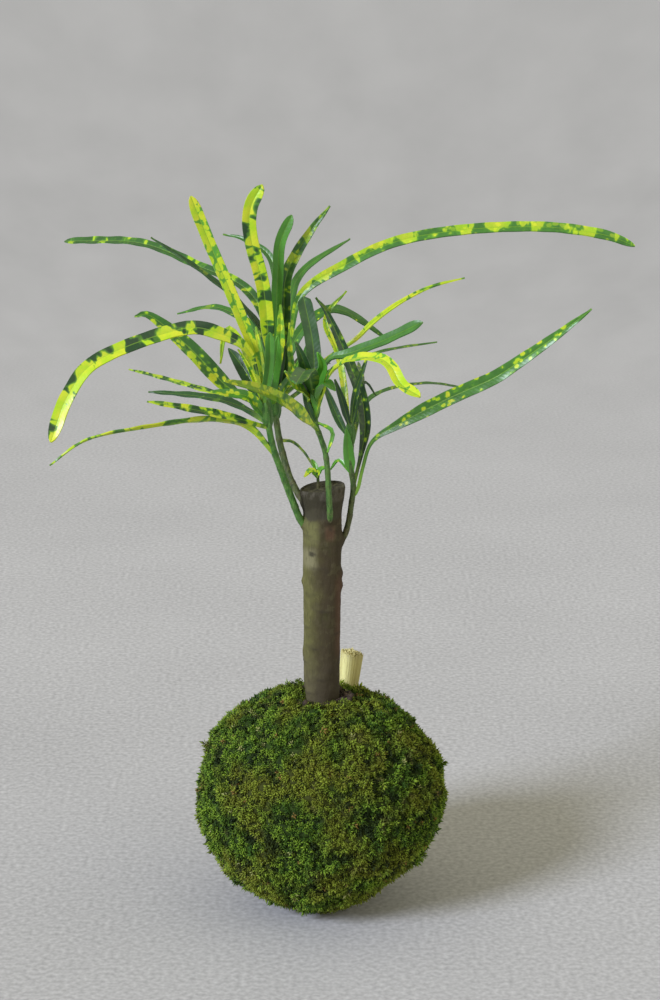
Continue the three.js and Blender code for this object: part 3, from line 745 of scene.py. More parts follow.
# %% Shape the trunk
TRUNK_RADIUS = 8.3
TRUNK_TOP = 193.0
TRUNK_FOOT = 84.0  # the new trunk starts inside the ball, out of sight
TRUNK_SHIFT, TRUNK_LEAN, LEAN_FROM = -0.6, 0.012, 50.0
TRUNK_SIDES, TRUNK_RINGS = 84, 170
FOOT_SLIMNESS, SLIM_FROM_TO = 0.94, (105, 170)
NECK_Z, NECK_SLIMMER = (177, 181), 0.02  # the dead band is a little thinner than the live wood
FLARE_FROM, FLARE_HEIGHT, FLARE, FLARE_CURVE = 180, 12, 1.6, 1.4
# The trunk isn't quite round: how far it swells, how many times round it, and how that twists upwards.
SWELLS = ((0.2, 3, 0.02), (0.14, 5, -0.045))
EDGE_Z, EDGE_ROUNDED = 192.2, 0.2
CROWN_FROM, CROWN_TILT = 187, 0.1  # the cut slopes up to the right by a tenth
CUT_INSETS = (0.05, 0.1, 0.15, 0.2, 0.2, 0.15)
CUT_SUNK, PITH_RAISED, CUT_ROUGHNESS = 1.1, 0.5, 0.35
FINE_WRINKLES, BROAD_WRINKLES = 0.11, 0.14
FINE_SIZE, FINE_STRETCH, BROAD_SIZE, CUT_GRAIN = 0.9, 0.22, 3.5, 1.6
MEAN_AXIS = np.array([TRUNK_SHIFT + 1.0, 0, 0])  # where the leaning trunk stands on average

# Height, bearing in degrees, size, how far it stands out, all in millimetres, and how dark its scar is.
KNOBS = [
    (151, 186, 2.6, 1.0, 0.6), (154.5, -8, 3.4, 0.9, 0.5), (149, -4, 3.0, 0.9, 0.6),
    (165, 247, 2.6, 0.4, 1.0), (126, 100, 4.0, 0.8, 0.5), (112, 300, 4.0, 0.5, 0.6),
    (135, 40, 3.5, 0.7, 0.5), (119, 188, 5.0, 0.6, 0.3), (168, 80, 4.0, 0.8, 0.5),
    (177, 201, 3.8, 1.9, 0.3), (185.5, 164, 3.6, 1.8, 0.3), (181, -71, 3.8, 1.8, 0.1),
    (169.5, -1, 3.8, 1.8, 0.5), (157, 286, 2.6, 0.2, 0.7), (176, -66, 2.6, 0.1, 1.0),
]
# Leaf scars, as narrow crescents that lie across the trunk: height and bearing.
SCARS = [
    (172, 215), (166, 130), (158, 262), (154, 20), (146, 228), (139, 275), (137, 150), (131, 210), (128, 330),
    (122, 250), (117, 60), (115, 200), (108, 268), (105, 160), (160, 60), (144, 95), (101, 225), (175, 20),
]
SCAR_BEND, SCAR_THICKNESS, SCAR_WIDTH, SCAR_RISE, SCAR_SHADE = 0.05, 0.55, 3.2, 0.3, 0.75


def trunk_place(points):
    """Rings of radius 1, with z from 0 to 1, become the trunk in mm. Also how scarred each point is."""
    bearing = np.arctan2(points[:, 1], points[:, 0])
    reach = np.hypot(points[:, 0], points[:, 1])
    z = mix(TRUNK_FOOT, TRUNK_TOP, points[:, 2])

    def round_it(degrees):
        """How far round the trunk each point lies from a bearing."""
        off = bearing - math.radians(degrees)
        return np.arctan2(np.sin(off), np.cos(off)) * TRUNK_RADIUS

    slim = mix(FOOT_SLIMNESS, 1, smooth(z, *SLIM_FROM_TO)) * (1 - NECK_SLIMMER * smooth(z, *NECK_Z))
    radius = TRUNK_RADIUS * slim + FLARE * np.clip((z - FLARE_FROM) / FLARE_HEIGHT, 0, 1) ** FLARE_CURVE
    radius += sum(rise * np.sin(times * bearing + z * twist) for rise, times, twist in SWELLS)
    dark = np.zeros(len(points))
    for height, degrees, size, stand, shade in KNOBS:
        off = (np.hypot(round_it(degrees), z - height) / size) ** 2
        radius += stand * np.exp(-2 * off)
        dark = np.maximum(dark, shade * np.exp(-9 * off))
    for height, degrees in SCARS:
        beside = round_it(degrees)
        above = z - height - SCAR_BEND * beside**2
        line = np.exp(-((above / SCAR_THICKNESS) ** 2) - (beside / SCAR_WIDTH) ** 2)
        radius += SCAR_RISE * line
        dark = np.maximum(dark, SCAR_SHADE * line)
    radius -= EDGE_ROUNDED * smooth(z, EDGE_Z, TRUNK_TOP) * (reach > 0.98)
    x, y = reach * radius * np.cos(bearing), reach * radius * np.sin(bearing)
    raised = z + CROWN_TILT * x * smooth(z, CROWN_FROM, TRUNK_TOP)
    return np.stack([x + TRUNK_SHIFT + (z - LEAN_FROM) * TRUNK_LEAN, y, raised], axis=1), dark


post = added(bpy.ops.mesh.primitive_cylinder_add, vertices=TRUNK_SIDES, radius=1, depth=1,
             location=(0, 0, 0.5))
bpy.ops.object.transform_apply()
cut_into_rings(post, TRUNK_RINGS)
pick(post, "FACE", lambda face: face.normal.z > 0.9)
for width in CUT_INSETS:
    bpy.ops.mesh.inset(thickness=width)
bpy.ops.mesh.poke()
leave_edit_mode()

straight = read_points(post)
points, dark = trunk_place(straight)
reach = np.hypot(*straight.T[:2])
on_cut = (straight[:, 2] > 0.999) * smooth(reach, 0.99, 0.93)
sunk = CUT_SUNK - PITH_RAISED * smooth(reach, 0.3, 0.0) + CUT_ROUGHNESS * lumps(points, CUT_GRAIN, 5)
points[:, 2] -= on_cut * sunk
wrinkled = FINE_WRINKLES * lumps(points * (1, 1, FINE_STRETCH), FINE_SIZE, 6)
wrinkled = (wrinkled + BROAD_WRINKLES * lumps(points, BROAD_SIZE, 7)) * (reach > 0.99)
points += wrinkled[:, None] * (points * (1, 1, 0) - MEAN_AXIS) / TRUNK_RADIUS
write_points(post, points * MM)
store(post, "scar", dark)
store(post, "cut", on_cut)

# %% [markdown]
# ## Bark
# The bark is olive on its left and a dull brown on its right: partly its own colour, and partly painted
# shade on the side away from the light. Fine cracks run up it, old leaf scars are dark, and under the cut
# the wood has died back to a grey-brown band. Each of these is one mask, and the colour is built up mask by
# mask.

# %% Mix the bark
BARK = {
    "olive": rgb(0.128, 0.128, 0.037),
    "brown": rgb(0.046, 0.035, 0.017),
    "dark patch": rgb(0.050, 0.052, 0.013),
    "pale fibres": rgb(0.200, 0.188, 0.075),
    "fresh patch": rgb(0.165, 0.165, 0.058),
    "warm mottle": rgb(0.080, 0.070, 0.034),
    "pale patch": rgb(0.250, 0.235, 0.130),
    "crack": rgb(0.030, 0.025, 0.013),
    "foot": rgb(0.110, 0.090, 0.058),
    "foot in shade": rgb(0.046, 0.037, 0.024),
    "russet": rgb(0.105, 0.050, 0.030),
    "pit": rgb(0.030, 0.028, 0.014),
    "scar": rgb(0.030, 0.024, 0.015),
    "dead": rgb(0.029, 0.025, 0.014),
    "dead and grey": rgb(0.049, 0.044, 0.025),
    # the rim colour is partly a painted highlight along the top edge
    "rim": rgb(0.120, 0.108, 0.082),
    "cut": rgb(0.034, 0.030, 0.018),
    "pale cut": rgb(0.088, 0.080, 0.040),
}
DEAD_BAND_Z = (0.1797, 0.1813)
RIM_Z = (0.1880, 0.1905)
FOOT_Z = (0.126, 0.098)
# Where each oval mark lies on the front, across and up, and its half width and half height, all in mm.
FRESH_PATCH = (-4.2, 174.0, 5.0, 8.0)
PALE_PATCH = (-4.8, 162.5, 4.5, 6.5)
RUSSET_SCAR = (4.0, 174.0, 3.0, 4.8)
PIT = (-4.0, 164.8, 1.5, 1.6)


def bark_finish():
    f = Finish("croton bark")
    where = f.place()
    x, y, z = (f.axis(where, name) for name in "XYZ")
    front = y.rise(1 * MM, -1 * MM)

    def near(axis, middle_mm, none_mm, full_mm):
        """1 within full_mm of a place on an axis, and 0 from none_mm away."""
        return abs(axis * (1 / MM) - middle_mm).rise(none_mm, full_mm)

    def spot(at_x, at_z, wide, tall):
        """A soft oval on the front of the trunk."""
        return near(x, at_x, wide, wide * 0.3) * near(z, at_z, tall, tall * 0.3) * front

    patch = f.noise(where, 90.0, detail=3.0, roughness=0.55)
    crack = f.noise(f.place(1.0, 1.0, 0.16), 1100.0, detail=3.0, roughness=0.6)
    fibrous = f.noise(f.place(1.0, 1.0, 0.6), 520.0, detail=3.0, roughness=0.6)
    mottle = f.noise(where, 260.0, detail=3.0)
    # painted shade: the right of the trunk, away from the light, is painted browner and darker, also at its
    # foot
    painted_shade_right = (x * 70.0 + patch * 0.9 - 0.25).rise(-0.60, 0.40)
    russet = x.rise(5 * MM, 8 * MM) * near(z, 136.0, 22.0, 14.0)
    dead = (z + (patch - 0.5) * 0.007).rise(*DEAD_BAND_Z)
    # a pale fibrous ring just below the top edge: torn fibres, and partly a painted highlight where the edge
    # catches the light
    rim = (z + (patch - 0.5) * 0.006).rise(*RIM_Z) * fibrous.rise(0.40, 0.60)
    dead_wood = f.mix(patch.rise(0.4, 0.62), BARK["dead"], BARK["dead and grey"])
    foot = f.mix(painted_shade_right, BARK["foot"], BARK["foot in shade"])
    cut = f.mix(f.noise(where, 500.0, detail=3.0).rise(0.35, 0.7), BARK["cut"], BARK["pale cut"])

    # Each row is a mask and the colour that it lays over the ones before.
    colour = f.mix(painted_shade_right, BARK["olive"], BARK["brown"])
    for mask, laid in (
        (patch.rise(0.52, 0.68) * 0.45, BARK["dark patch"]),
        # the pale fibres show only on the lit side, and the warm mottle only in the painted shade
        (fibrous.rise(0.50, 0.70) * (1 - painted_shade_right) * 0.45, BARK["pale fibres"]),
        (spot(*FRESH_PATCH) * 0.7, BARK["fresh patch"]),
        (mottle.rise(0.52, 0.62) * painted_shade_right * 0.5, BARK["warm mottle"]),
        (spot(*PALE_PATCH) * 0.6, BARK["pale patch"]),
        (crack.rise(0.48, 0.34) * 0.3, BARK["crack"]),
        (z.rise(*FOOT_Z) * 0.6, foot),
        ((russet * 0.6 + spot(*RUSSET_SCAR) * 0.6) * 0.9, BARK["russet"]),
        (spot(*PIT) * 0.85, BARK["pit"]),
        (f.drawn("scar") * 0.85, BARK["scar"]),
        (dead * 0.92, dead_wood),
        (rim * 0.5, BARK["rim"]),
        (f.drawn("cut"), cut),
    ):
        colour = f.mix(mask, colour, laid)
    relief = f.bump(crack * 0.45 + fibrous * 0.75, 0.45 * MM)
    return f.paint(Base_Color=colour, Roughness=0.8, Specular_IOR_Level=0.3, Normal=relief)


settle(post, "trunk_bark", bark_finish(), ["trunk"], smooth_deg=50)

# %% [markdown]
# ## The split cane
# Well behind the trunk stands a stub of split cane that steadied the cutting. Cane is a bundle of straight
# fibres: it splits along them, and its end breaks unevenly. A box with many long cuts gives each fibre
# its own height at the end and its own small ridge down the side.

# %% Model the cane
CANE_TOP, CANE_FOOT = np.array([13.8, 27.0, 108.5]), np.array([8.7, 26.0, 64.0])
CANE_WIDTH, CANE_DEPTH, CANE_TAPER = 8.6, 7.0, 0.6
CANE_TURN_DEG = -48
CANE_ROUNDING, CANE_RIDGES = 0.07, 0.07
FIBRES = 15
RAGGED_FROM, RAGGED_HIGH, RAGGED_LOW = 0.93, 1.9, 0.3
END_FROM, CANE_SHADE_TO = 0.985, 2.6


def tilt_to(direction):
    """The turn that brings the upright to a direction, as a matrix for rows of points."""
    return np.array(Vector((0, 0, 1)).rotation_difference(Vector(direction)).to_matrix()).T


cane = added(bpy.ops.mesh.primitive_cube_add, size=1)
bpy.ops.object.mode_set(mode="EDIT")
bpy.ops.mesh.subdivide(number_cuts=FIBRES)
bpy.ops.object.mode_set(mode="OBJECT")

points = read_points(cane)
up_it = points[:, 2] + 0.5
column = np.round(points[:, :2] * (FIBRES + 1)).astype(int) + FIBRES // 2 + 1
value = rng.random((FIBRES + 3, FIBRES + 3, 2))[column[:, 0], column[:, 1]]
flat = points[:, :2] * (CANE_WIDTH, CANE_DEPTH) * mix(CANE_TAPER, 1, up_it)[:, None]
flat *= 1 - CANE_ROUNDING * (np.clip(np.abs(points[:, :2]) * 2, 0, 1) ** 6)[:, ::-1]
outside = np.abs(points[:, :2]).max(axis=1) > 0.49
flat *= 1 + CANE_RIDGES * ((value[:, 0] - 0.5) * outside)[:, None]
turn = math.radians(CANE_TURN_DEG)
turned = flat @ np.array([[math.cos(turn), math.sin(turn)], [-math.sin(turn), math.cos(turn)]])
ragged = smooth(up_it, RAGGED_FROM, 1.0) * (RAGGED_HIGH * value[:, 1] ** 2 - RAGGED_LOW)
length = np.linalg.norm(CANE_TOP - CANE_FOOT)
local = np.column_stack([turned, points[:, 2] * length + ragged])
write_points(cane, (local @ tilt_to(CANE_TOP - CANE_FOOT) + (CANE_TOP + CANE_FOOT) / 2) * MM)
store(cane, "fibre", value[:, 0])
store(cane, "end", smooth(up_it, END_FROM, 1.0))
# painted shade: the side turned away from the light is marked to be painted darker
store(cane, "cane_painted_shade", smooth(turned[:, 0], 0.0, CANE_SHADE_TO))

# %% [markdown]
# ## Cane colours
# Dry cane is straw yellow with thin brown and nearly white streaks along its fibres. The side that looks
# away from the light is painted darker as shade, the broken end is darker, and each fibre has a value of its
# own.


# %% Mix the cane
def cane_finish():
    f = Finish("split cane")
    streak = f.noise(f.place(1.0, 1.0, 0.03), 2300.0, detail=3.0, roughness=0.6)
    straw, pale_straw = rgb(0.62, 0.57, 0.22), rgb(0.84, 0.80, 0.34)
    colour = f.mix(f.drawn("fibre").rise(0.1, 0.9), straw, pale_straw)
    for mask, laid in (
        (streak.rise(0.55, 0.68) * 0.5, rgb(0.36, 0.29, 0.10)),
        (streak.rise(0.42, 0.30) * 0.5, rgb(0.90, 0.88, 0.58)),
        # painted shade on the side away from the light
        (f.drawn("cane_painted_shade") * 0.55, rgb(0.30, 0.25, 0.08)),
        (f.drawn("end") * 0.35, rgb(0.34, 0.27, 0.12)),
    ):
        colour = f.mix(mask, colour, laid)
    relief = f.bump(streak, 0.35 * MM)
    return f.paint(Base_Color=colour, Roughness=0.6, Specular_IOR_Level=0.35, Normal=relief)


settle(cane, "cane_stub", cane_finish(), ["cane_stake"], smooth_deg=35)

# %% [markdown]
# ## What a leaf needs to know
# No two leaves of a croton are alike, and a leaf that is scattered at random never lies where the real one
# does. So each leaf is one row, in millimetres: where it leaves the stem, how wide it is, which way its
# face is turned, its looks and its line. yellow is the share of the blade that is yellow, band is 0 for
# round specks and 1 for bands across the blade, and shade runs from 0 for black-green to 1 for the
# brightest green. Some leaves were given a higher shade than their own green, which paints the sheen
# of the light on them. lean makes one half of the blade yellower than the other, and fade makes the tip
# yellower than the root.


# %% The leaves and stems of each shoot
@dataclass
class Leaf:
    at: float  # the share of the stem at which it leaves
    width: float
    turn: object  # how far the face is turned towards the viewer, in degrees, or at the root and at the tip
    looks: tuple  # yellow, band, shade
    line: list  # the points that it runs through
    blunt: bool = False
    petiole: float = 0.1  # the share of it that is bare stalk
    lean: float = 0.0
    fade: float = 0.0


@dataclass
class Shoot:
    node: str
    radius: tuple  # of the stem, at its foot and at its tip
    crown: float  # the radius of its bud
    wood: tuple  # how brown the stem is, at its foot and at its tip
    stem: list
    leaves: list


SHOOTS = [
    Shoot(
        "shoot_left_front", (1.6, 1.3), 2.6, (0.15, 0.0),
        [(-2.5, -1, 173), (-8, -3.5, 178), (-12.6, -6, 190), (-16.6, -9, 202), (-20, -12, 213),
         (-22, -14, 224), (-24, -15, 234)],
        [
            Leaf(0.98, 5.8, (70, 55), (0.50, 1.0, 0.05),
                 [(-29, -23, 256), (-41, -28, 265), (-57, -34, 268), (-89, -46, 258), (-101, -53, 245),
                  (-108, -60, 227)], blunt=True, lean=0.16, fade=0.14),
            Leaf(0.95, 7.0, (40, 65), (0.58, 0.0, 0.36),
                 [(-39, -15, 240), (-54, -15, 256), (-70, -16, 270), (-77, -16, 270)], lean=0.35),
            Leaf(0.97, 6.4, 75, (0.12, 0.0, 0.15), [(-32, -5, 245), (-39, 2, 253)]),
            Leaf(0.93, 3.0, 50, (0.90, 0.4, 0.6), [(-31, -12, 254), (-39, -11, 264), (-42, -11, 249)]),
            Leaf(0.85, 3.8, 8, (0.45, 0.6, 0.1), [(-41, 8, 230), (-54, 19, 232), (-85, 45, 235)]),
            Leaf(0.88, 4.6, 18, (0.10, 0.2, 0.2), [(-43, 0, 231), (-74, 12, 232)]),
            Leaf(0.82, 4.8, 28, (0.48, 1.0, 0.15), [(-40, -22, 229), (-71, -34, 238)]),
            Leaf(0.62, 3.9, (-70, -4), (0.54, 0.9, 0.40),
                 [(-30, -16, 223), (-46, -20, 227), (-71, -25, 225), (-96, -30, 221), (-112, -34, 211)],
                 petiole=0),
            Leaf(1.0, 4.8, 80, (1.04, 0.0, 0.8),
                 [(-26, -18, 252), (-36, -24, 280), (-44, -27, 300), (-52, -32, 322)], blunt=True, lean=0.15),
            Leaf(0.99, 2.8, 80, (0.92, 0.3, 0.8), [(-25, -11, 250), (-27, -7, 264)]),
            Leaf(0.84, 5.0, 45, (0.60, 0.0, 0.6), [(-29, -20, 236), (-37, -24, 239), (-45, -28, 241)]),
            Leaf(0.96, 2.0, 60, (0.90, 0.0, 0.8), [(-28, -18, 245), (-31, -20, 252), (-34, -20, 257)]),
            Leaf(0.97, 3.8, 80, (0.02, 0.0, 0.6), [(-21, -28, 251), (-20.5, -34, 259), (-20.5, -36, 267)],
                 blunt=True),
        ],
    ),
    Shoot(
        "shoot_left_back", (1.55, 1.3), 3.0, (0.9, 0.35),
        [(-3, 1, 181), (-8, 2.6, 186.5), (-13, 5, 195), (-16, 8, 204), (-18, 10, 212), (-19.5, 12, 222),
         (-21, 13, 232)],
        [
            Leaf(0.96, 4.8, 30, (0.20, 0.8, 0.32),
                 [(-23, 32, 255), (-33, 44, 271), (-54, 56, 279), (-81, 71, 287), (-117, 90, 285)],
                 blunt=True),
            Leaf(0.92, 4.5, 8, (0.10, 0.2, 0.15),
                 [(-24, 20, 253), (-36, 23, 269), (-52, 26, 282), (-73, 30, 296)]),
            Leaf(1.0, 5.8, 85, (0.58, 1.0, 0.15),
                 [(-22, 9, 251), (-24, 4, 278), (-29, 0, 300), (-29, -3, 313), (-24, -4, 323)], blunt=True),
            Leaf(0.94, 4.0, 40, (0.20, 0.0, 0.4),
                 [(-18, 30, 255), (-21, 42, 283), (-33, 48, 292), (-43, 52, 294)]),
            Leaf(0.99, 4.6, 85, (0.0, 0.0, 0.68),
                 [(-20, 13, 252), (-18, 9, 284), (-17, 7, 297), (-12, 6, 309)], blunt=True),
            Leaf(0.97, 5.4, 80, (0.42, 0.5, 0.3),
                 [(-16, 14, 258), (-15, 13, 280), (-10, 13, 292), (-3, 12, 303), (4, 12, 312)]),
            Leaf(0.9, 4.0, 40, (0.05, 0.0, 0.5), [(-14, 43, 262), (-8, 55, 277), (13, 72, 289)]),
            Leaf(0.98, 4.6, (75, 50), (0.44, 0.7, 0.45),
                 [(-13, 8, 256), (-8, 9, 275), (10, 10, 287), (32, 11, 297), (61, 11, 302), (93, 12, 303),
                  (118, 12, 300), (133, 12, 295)], blunt=True, lean=0.15, fade=-0.1),
            Leaf(0.88, 4.8, 45, (0.15, 0.0, 0.42),
                 [(-12, 27, 250), (0, 34, 262), (11, 37, 262), (30, 45, 248)]),
            Leaf(0.86, 2.6, 0, (0.30, 0.3, 0.45), [(4, 35, 236), (26, 48, 242), (52, 62, 244)]),
            Leaf(0.89, 4.6, 25, (0.20, 0.2, 0.42), [(-28, 40, 251), (-45, 57, 260), (-65, 72, 255)]),
            Leaf(0.62, 2.2, 20, (0.5, 0.3, 0.4), [(-13, 16, 209), (-8, 20, 204), (-3, 26, 195)]),
            Leaf(0.9, 2.4, 45, (0.60, 1.0, 0.4),
                 [(1, 22, 243), (15, 22, 253), (22, 22, 260), (33, 24, 268), (47, 26, 275), (62, 27, 279)],
                 petiole=0.35),
            Leaf(0.88, 6.0, 85, (0.0, 0.0, 1.0), [(-21, 2, 237), (-19, 0, 248), (-18, -2, 259)]),
            Leaf(0.94, 4.4, 85, (0.80, 0.2, 0.8), [(-18, 8, 242), (-17, 6, 258), (-17, 6, 271)]),
            Leaf(0.9, 3.4, 85, (0.0, 0.0, 0.1), [(-17, 4, 237), (-15, 2, 247), (-15, 2, 254)]),
            Leaf(0.92, 3.0, 85, (0.60, 0.2, 0.5), [(-13, 4, 239), (-13, 2, 252), (-13, 2, 264)]),
            Leaf(0.9, 4.0, 60, (0.55, 0.0, 0.6), [(-16, 0, 236), (-12, -8, 243), (-9, -14, 251)]),
            Leaf(0.95, 4.8, 20, (0.45, 0.9, 0.3), [(-18, 50, 250), (-14, 95, 252)]),
            Leaf(0.93, 4.8, 20, (0.55, 0.6, 0.5), [(-30, 45, 246), (-40, 85, 240)]),
            Leaf(0.91, 4.8, 20, (0.25, 0.1, 0.2), [(-8, 50, 238), (4, 92, 228)]),
        ],
    ),
    Shoot(
        "shoot_front", (1.3, 1.05), 2.2, (0.3, 0.15),
        [(2.8, -4, 176.5), (4, -8.9, 181.5), (3.6, -12, 191), (3, -14, 203), (2, -16, 212), (0, -18, 219),
         (-2, -20, 226), (-2.5, -21.5, 238)],
        [
            Leaf(0.85, 5.0, (45, 30), (1.10, 0.0, 0.8),
                 [(2, -32, 245), (7, -42, 254), (14, -54, 260), (23, -64, 262), (28, -70, 260),
                  (32, -76, 254), (39, -84, 251)], blunt=True, fade=0.3),
            Leaf(0.98, 4.6, 50, (0.0, 0.0, 0.45),
                 [(3, -29, 254), (12, -34, 258), (26, -42, 265), (41, -50, 274)], blunt=True, petiole=0.25),
            Leaf(0.76, 5.4, 62, (0.80, 0.3, 0.45),
                 [(-5, -34, 230), (-13, -50, 241), (-25, -68, 251), (-37, -82, 257)]),
            Leaf(0.97, 7.0, 35, (0.15, 0.2, 0.3), [(-5, -55, 255), (-9, -87, 257)], blunt=True),
            Leaf(0.8, 3.0, 70, (0.0, 0.0, 0.1), [(-4, -23, 230), (-7, -28, 241)]),
            Leaf(0.94, 5.4, 45, (0.0, 0.0, 0.6), [(2, -42, 247), (6, -58, 248)]),
            Leaf(1.0, 6.0, 85, (0.04, 0.0, 0.18), [(-3, -18, 258), (-7, -14, 278)], blunt=True),
            Leaf(0.93, 5.4, 75, (0.05, 0.0, 0.15), [(-5, -30, 246), (-7, -38, 256), (-10, -40, 264)]),
            Leaf(0.83, 5.4, 65, (0.0, 0.0, 0.9), [(-1, -30, 244), (1, -38, 253), (-1, -42, 260)]),
            Leaf(0.88, 5.6, 55, (0.65, 0.3, 0.5), [(-5, -26, 238), (-10, -40, 246), (-14, -50, 254)]),
            Leaf(0.82, 1.6, 60, (0.5, 0.0, 0.9), [(5, -20, 222), (3, -24, 214)]),
            Leaf(0.97, 4.4, 75, (0.25, 0.0, 0.45), [(-7, -17, 243), (-6, -13, 252), (-4, -8, 260)]),
        ],
    ),
    Shoot(
        "shoot_right", (1.3, 1.1), 2.0, (1.0, 0.1),
        [(4.5, -0.4, 166.5), (9.6, -0.2, 170), (12, 0.6, 177), (13.2, 1, 185), (14, 0, 193), (13, -2, 202),
         (13, -3, 212), (12.5, -4, 222)],
        [
            Leaf(0.82, 2.6, 0, (0.30, 0.3, 0.45), [(21, 24, 226), (46, 52, 227), (72, 78, 218)]),
            Leaf(0.92, 2.0, 20, (0.10, 0.0, 0.1), [(18, 10, 236), (24, 14, 230)]),
            Leaf(0.42, 6.4, 65, (0.46, 0.0, 0.5),
                 [(16, 0, 192), (18, 0, 201), (22, -1, 213), (33, -3, 221), (53, -4, 232), (72, -5, 241),
                  (81, -6, 247), (97, -8, 259), (113, -10, 272)],
                 petiole=0.17, lean=0.1, fade=0.15),
            Leaf(0.5, 5.0, 85, (0.30, 0.1, 0.0),
                 [(18, 3, 210), (19, 5, 221), (16, 7, 236), (4, 11, 264), (-2, 12, 273)]),
            Leaf(0.9, 2.8, 70, (0.90, 0.2, 0.6), [(8, 9, 247), (2, 14, 263), (11, 17, 275)]),
            Leaf(0.95, 3.0, 80, (0.0, 0.0, 0.05), [(9, -8, 233), (6, -10, 242)]),
            Leaf(0.97, 2.6, 80, (0.3, 0.0, 0.2), [(15, -4, 236), (20, -4, 251)]),
            Leaf(0.86, 3.4, 80, (0.05, 0.0, 0.2), [(8, -1, 222), (1, 4, 238)]),
            Leaf(0.56, 4.6, 85, (0.0, 0.0, 0.75), [(12, -4, 208), (11, -8, 220)]),
            Leaf(0.6, 1.6, 50, (0.3, 0.0, 0.9), [(8, 3, 204), (4, 6, 199)]),
            Leaf(0.88, 4.0, 15, (0.40, 0.5, 0.3), [(16.5, 20, 222), (17.5, 46, 229), (17, 80, 231)]),
        ],
    ),
    Shoot(
        "sprout_top", (0.7, 0.6), 0.9, (0.0, 0.0),
        [(-1, 1.5, 190), (-1, 1.4, 193), (-1.2, 1, 196), (-1.5, 0.5, 199)],
        [
            Leaf(0.8, 2.6, 50, (0.85, 0.0, 0.9), [(-4, -1, 200.5), (-7, -4, 198.5)]),
            Leaf(0.85, 2.2, 50, (0.85, 0.0, 0.9), [(0, -1, 201), (2.5, -2, 202)]),
            Leaf(0.95, 2.2, 50, (0.85, 0.0, 0.9), [(-2.5, 2, 202), (-4, 4, 204)]),
        ],
    ),
]
print("leaves:", sum(len(shoot.leaves) for shoot in SHOOTS))

# %% [markdown]
# ## A line to bend things along
# Stems and leaves all follow a smooth line through a few points. Line reads such a line by the share of its
# length, and bend() moves a straight mesh onto it: a point's x goes sideways, its z goes up from the face,
# and its y runs from 0 at the root to 1 at the tip.


# %% Smooth lines
class Line:
    """A smooth line through points in millimetres, read by a share of its length from 0 to 1."""

    def __init__(self, points):
        p = np.array(points, float)
        p = np.vstack([2 * p[0] - p[1], p, 2 * p[-1] - p[-2]])
        t = np.linspace(0, 1, 40)[:, None]
        runs = []
        for before, start, end, after in zip(p, p[1:], p[2:], p[3:]):
            into, out_of = (end - before) / 2, (after - start) / 2
            bulge = (t**3 - 2 * t**2 + t) * into + (t**3 - t**2) * out_of
            runs.append(start + (3 * t**2 - 2 * t**3) * (end - start) + bulge)
        self.points = np.vstack(runs)
        steps = np.linalg.norm(np.diff(self.points, axis=0), axis=1)
        self.lengths = np.concatenate([[0], np.cumsum(steps)])
        self.length = self.lengths[-1]

    def at(self, share):
        distance = np.clip(share, 0, 1) * self.length
        return np.stack([np.interp(distance, self.lengths, self.points[:, k]) for k in range(3)], axis=-1)

    def heading(self, share):
        return unit(self.at(share + 0.01) - self.at(share - 0.01))


def bend(points, line, turn_deg):
    """Points (sideways mm, share along, up mm) laid along a line, in metres. turn_deg is how far the face
    is turned from the sky towards the viewer, at the root and at the tip."""
    along = points[:, 1]
    heading = line.heading(along)
    turn = np.radians(mix(*turn_deg, along))
    sky = np.stack([np.zeros_like(turn), -np.sin(turn), np.cos(turn)], axis=1)
    face = unit(sky - heading * (sky * heading).sum(1, keepdims=True))
    side = np.cross(face, heading)
    return (line.at(along) + side * points[:, :1] + face * points[:, 2:]) * MM


# %% [markdown]
# ## A leaf from a flat grid
# A croton leaf is a leathery strap with a sunk midrib and slightly waved edges. Its blade starts as a flat
# grid. The columns are moved so that three of them make the groove of the midrib, the rows take the
# outline, and the grid is bent along its line. Solidify then gives it thickness: full at the stalk, and
# less in the blade, by a vertex group.

# %% Model the leaves
BLADE_THICKNESS = 0.6
STALK_WIDTH, STALK_DEPTH = 1.5, 1.3
STALK_SLIMMEST = 0.55  # of the leaf's width, for leaves that are hardly wider than a stalk
OPENING = 0.25  # the share of the leaf over which the stalk widens to the blade
POINT_START, BLUNT_START = 0.45, 0.92
POINT_CURVE, POINT_SHARPNESS = 1.8, 0.65
TIP_WIDTH = 0.5
FOLD, FOLD_ROUNDING = 0.3, 0.02
RIB_DEPTH, RIB_WIDTH = 0.22, 0.4
WAVE_RISE, WAVE_LENGTH, WAVE_SHIFT = 0.22, 12.0, 1.7
WAVE_FULL_WIDTH = 5  # mm; a narrower leaf has lower waves
ROW_LENGTH, MOST_AT_TIP = 2.4, 1.15  # the rows lie closer towards the tip
COLUMNS = np.array([-1, -0.72, -0.38, -0.13, 0, 0.13, 0.38, 0.72, 1])
LEAF_UV = "leaf_map"
UV_PER_MM, UV_SHIFT = 0.01, 1.37  # the shift gives each leaf its own part of the pattern


def outline(along, leaf):
    """The leaf's half width along it: a thin stalk, a strap, and a point or a blunt end."""
    opened = smooth(along, leaf.petiole, leaf.petiole + OPENING)
    stalk = min(STALK_WIDTH, leaf.width * STALK_SLIMMEST)
    start = BLUNT_START if leaf.blunt else POINT_START
    closing = np.clip((along - start) / (1 - start), 0, 1)
    closed = np.sqrt(1 - closing**2) if leaf.blunt else (1 - closing**POINT_CURVE) ** POINT_SHARPNESS
    return np.maximum(TIP_WIDTH, mix(stalk, leaf.width, opened) * closed) / 2, opened


def lay_leaf_map(blade, along_mm, across_mm, number):
    """Gives the blade a map in tenths of a metre, which follows it however it bends."""
    uv = np.stack([along_mm * UV_PER_MM + number * UV_SHIFT, across_mm * UV_PER_MM], axis=1)
    corners = np.empty(len(blade.data.loops), np.int32)
    blade.data.loops.foreach_get("vertex_index", corners)
    blade.data.uv_layers[0].name = LEAF_UV
    blade.data.uv_layers[0].data.foreach_set("uv", uv[corners].astype(np.float32).ravel())


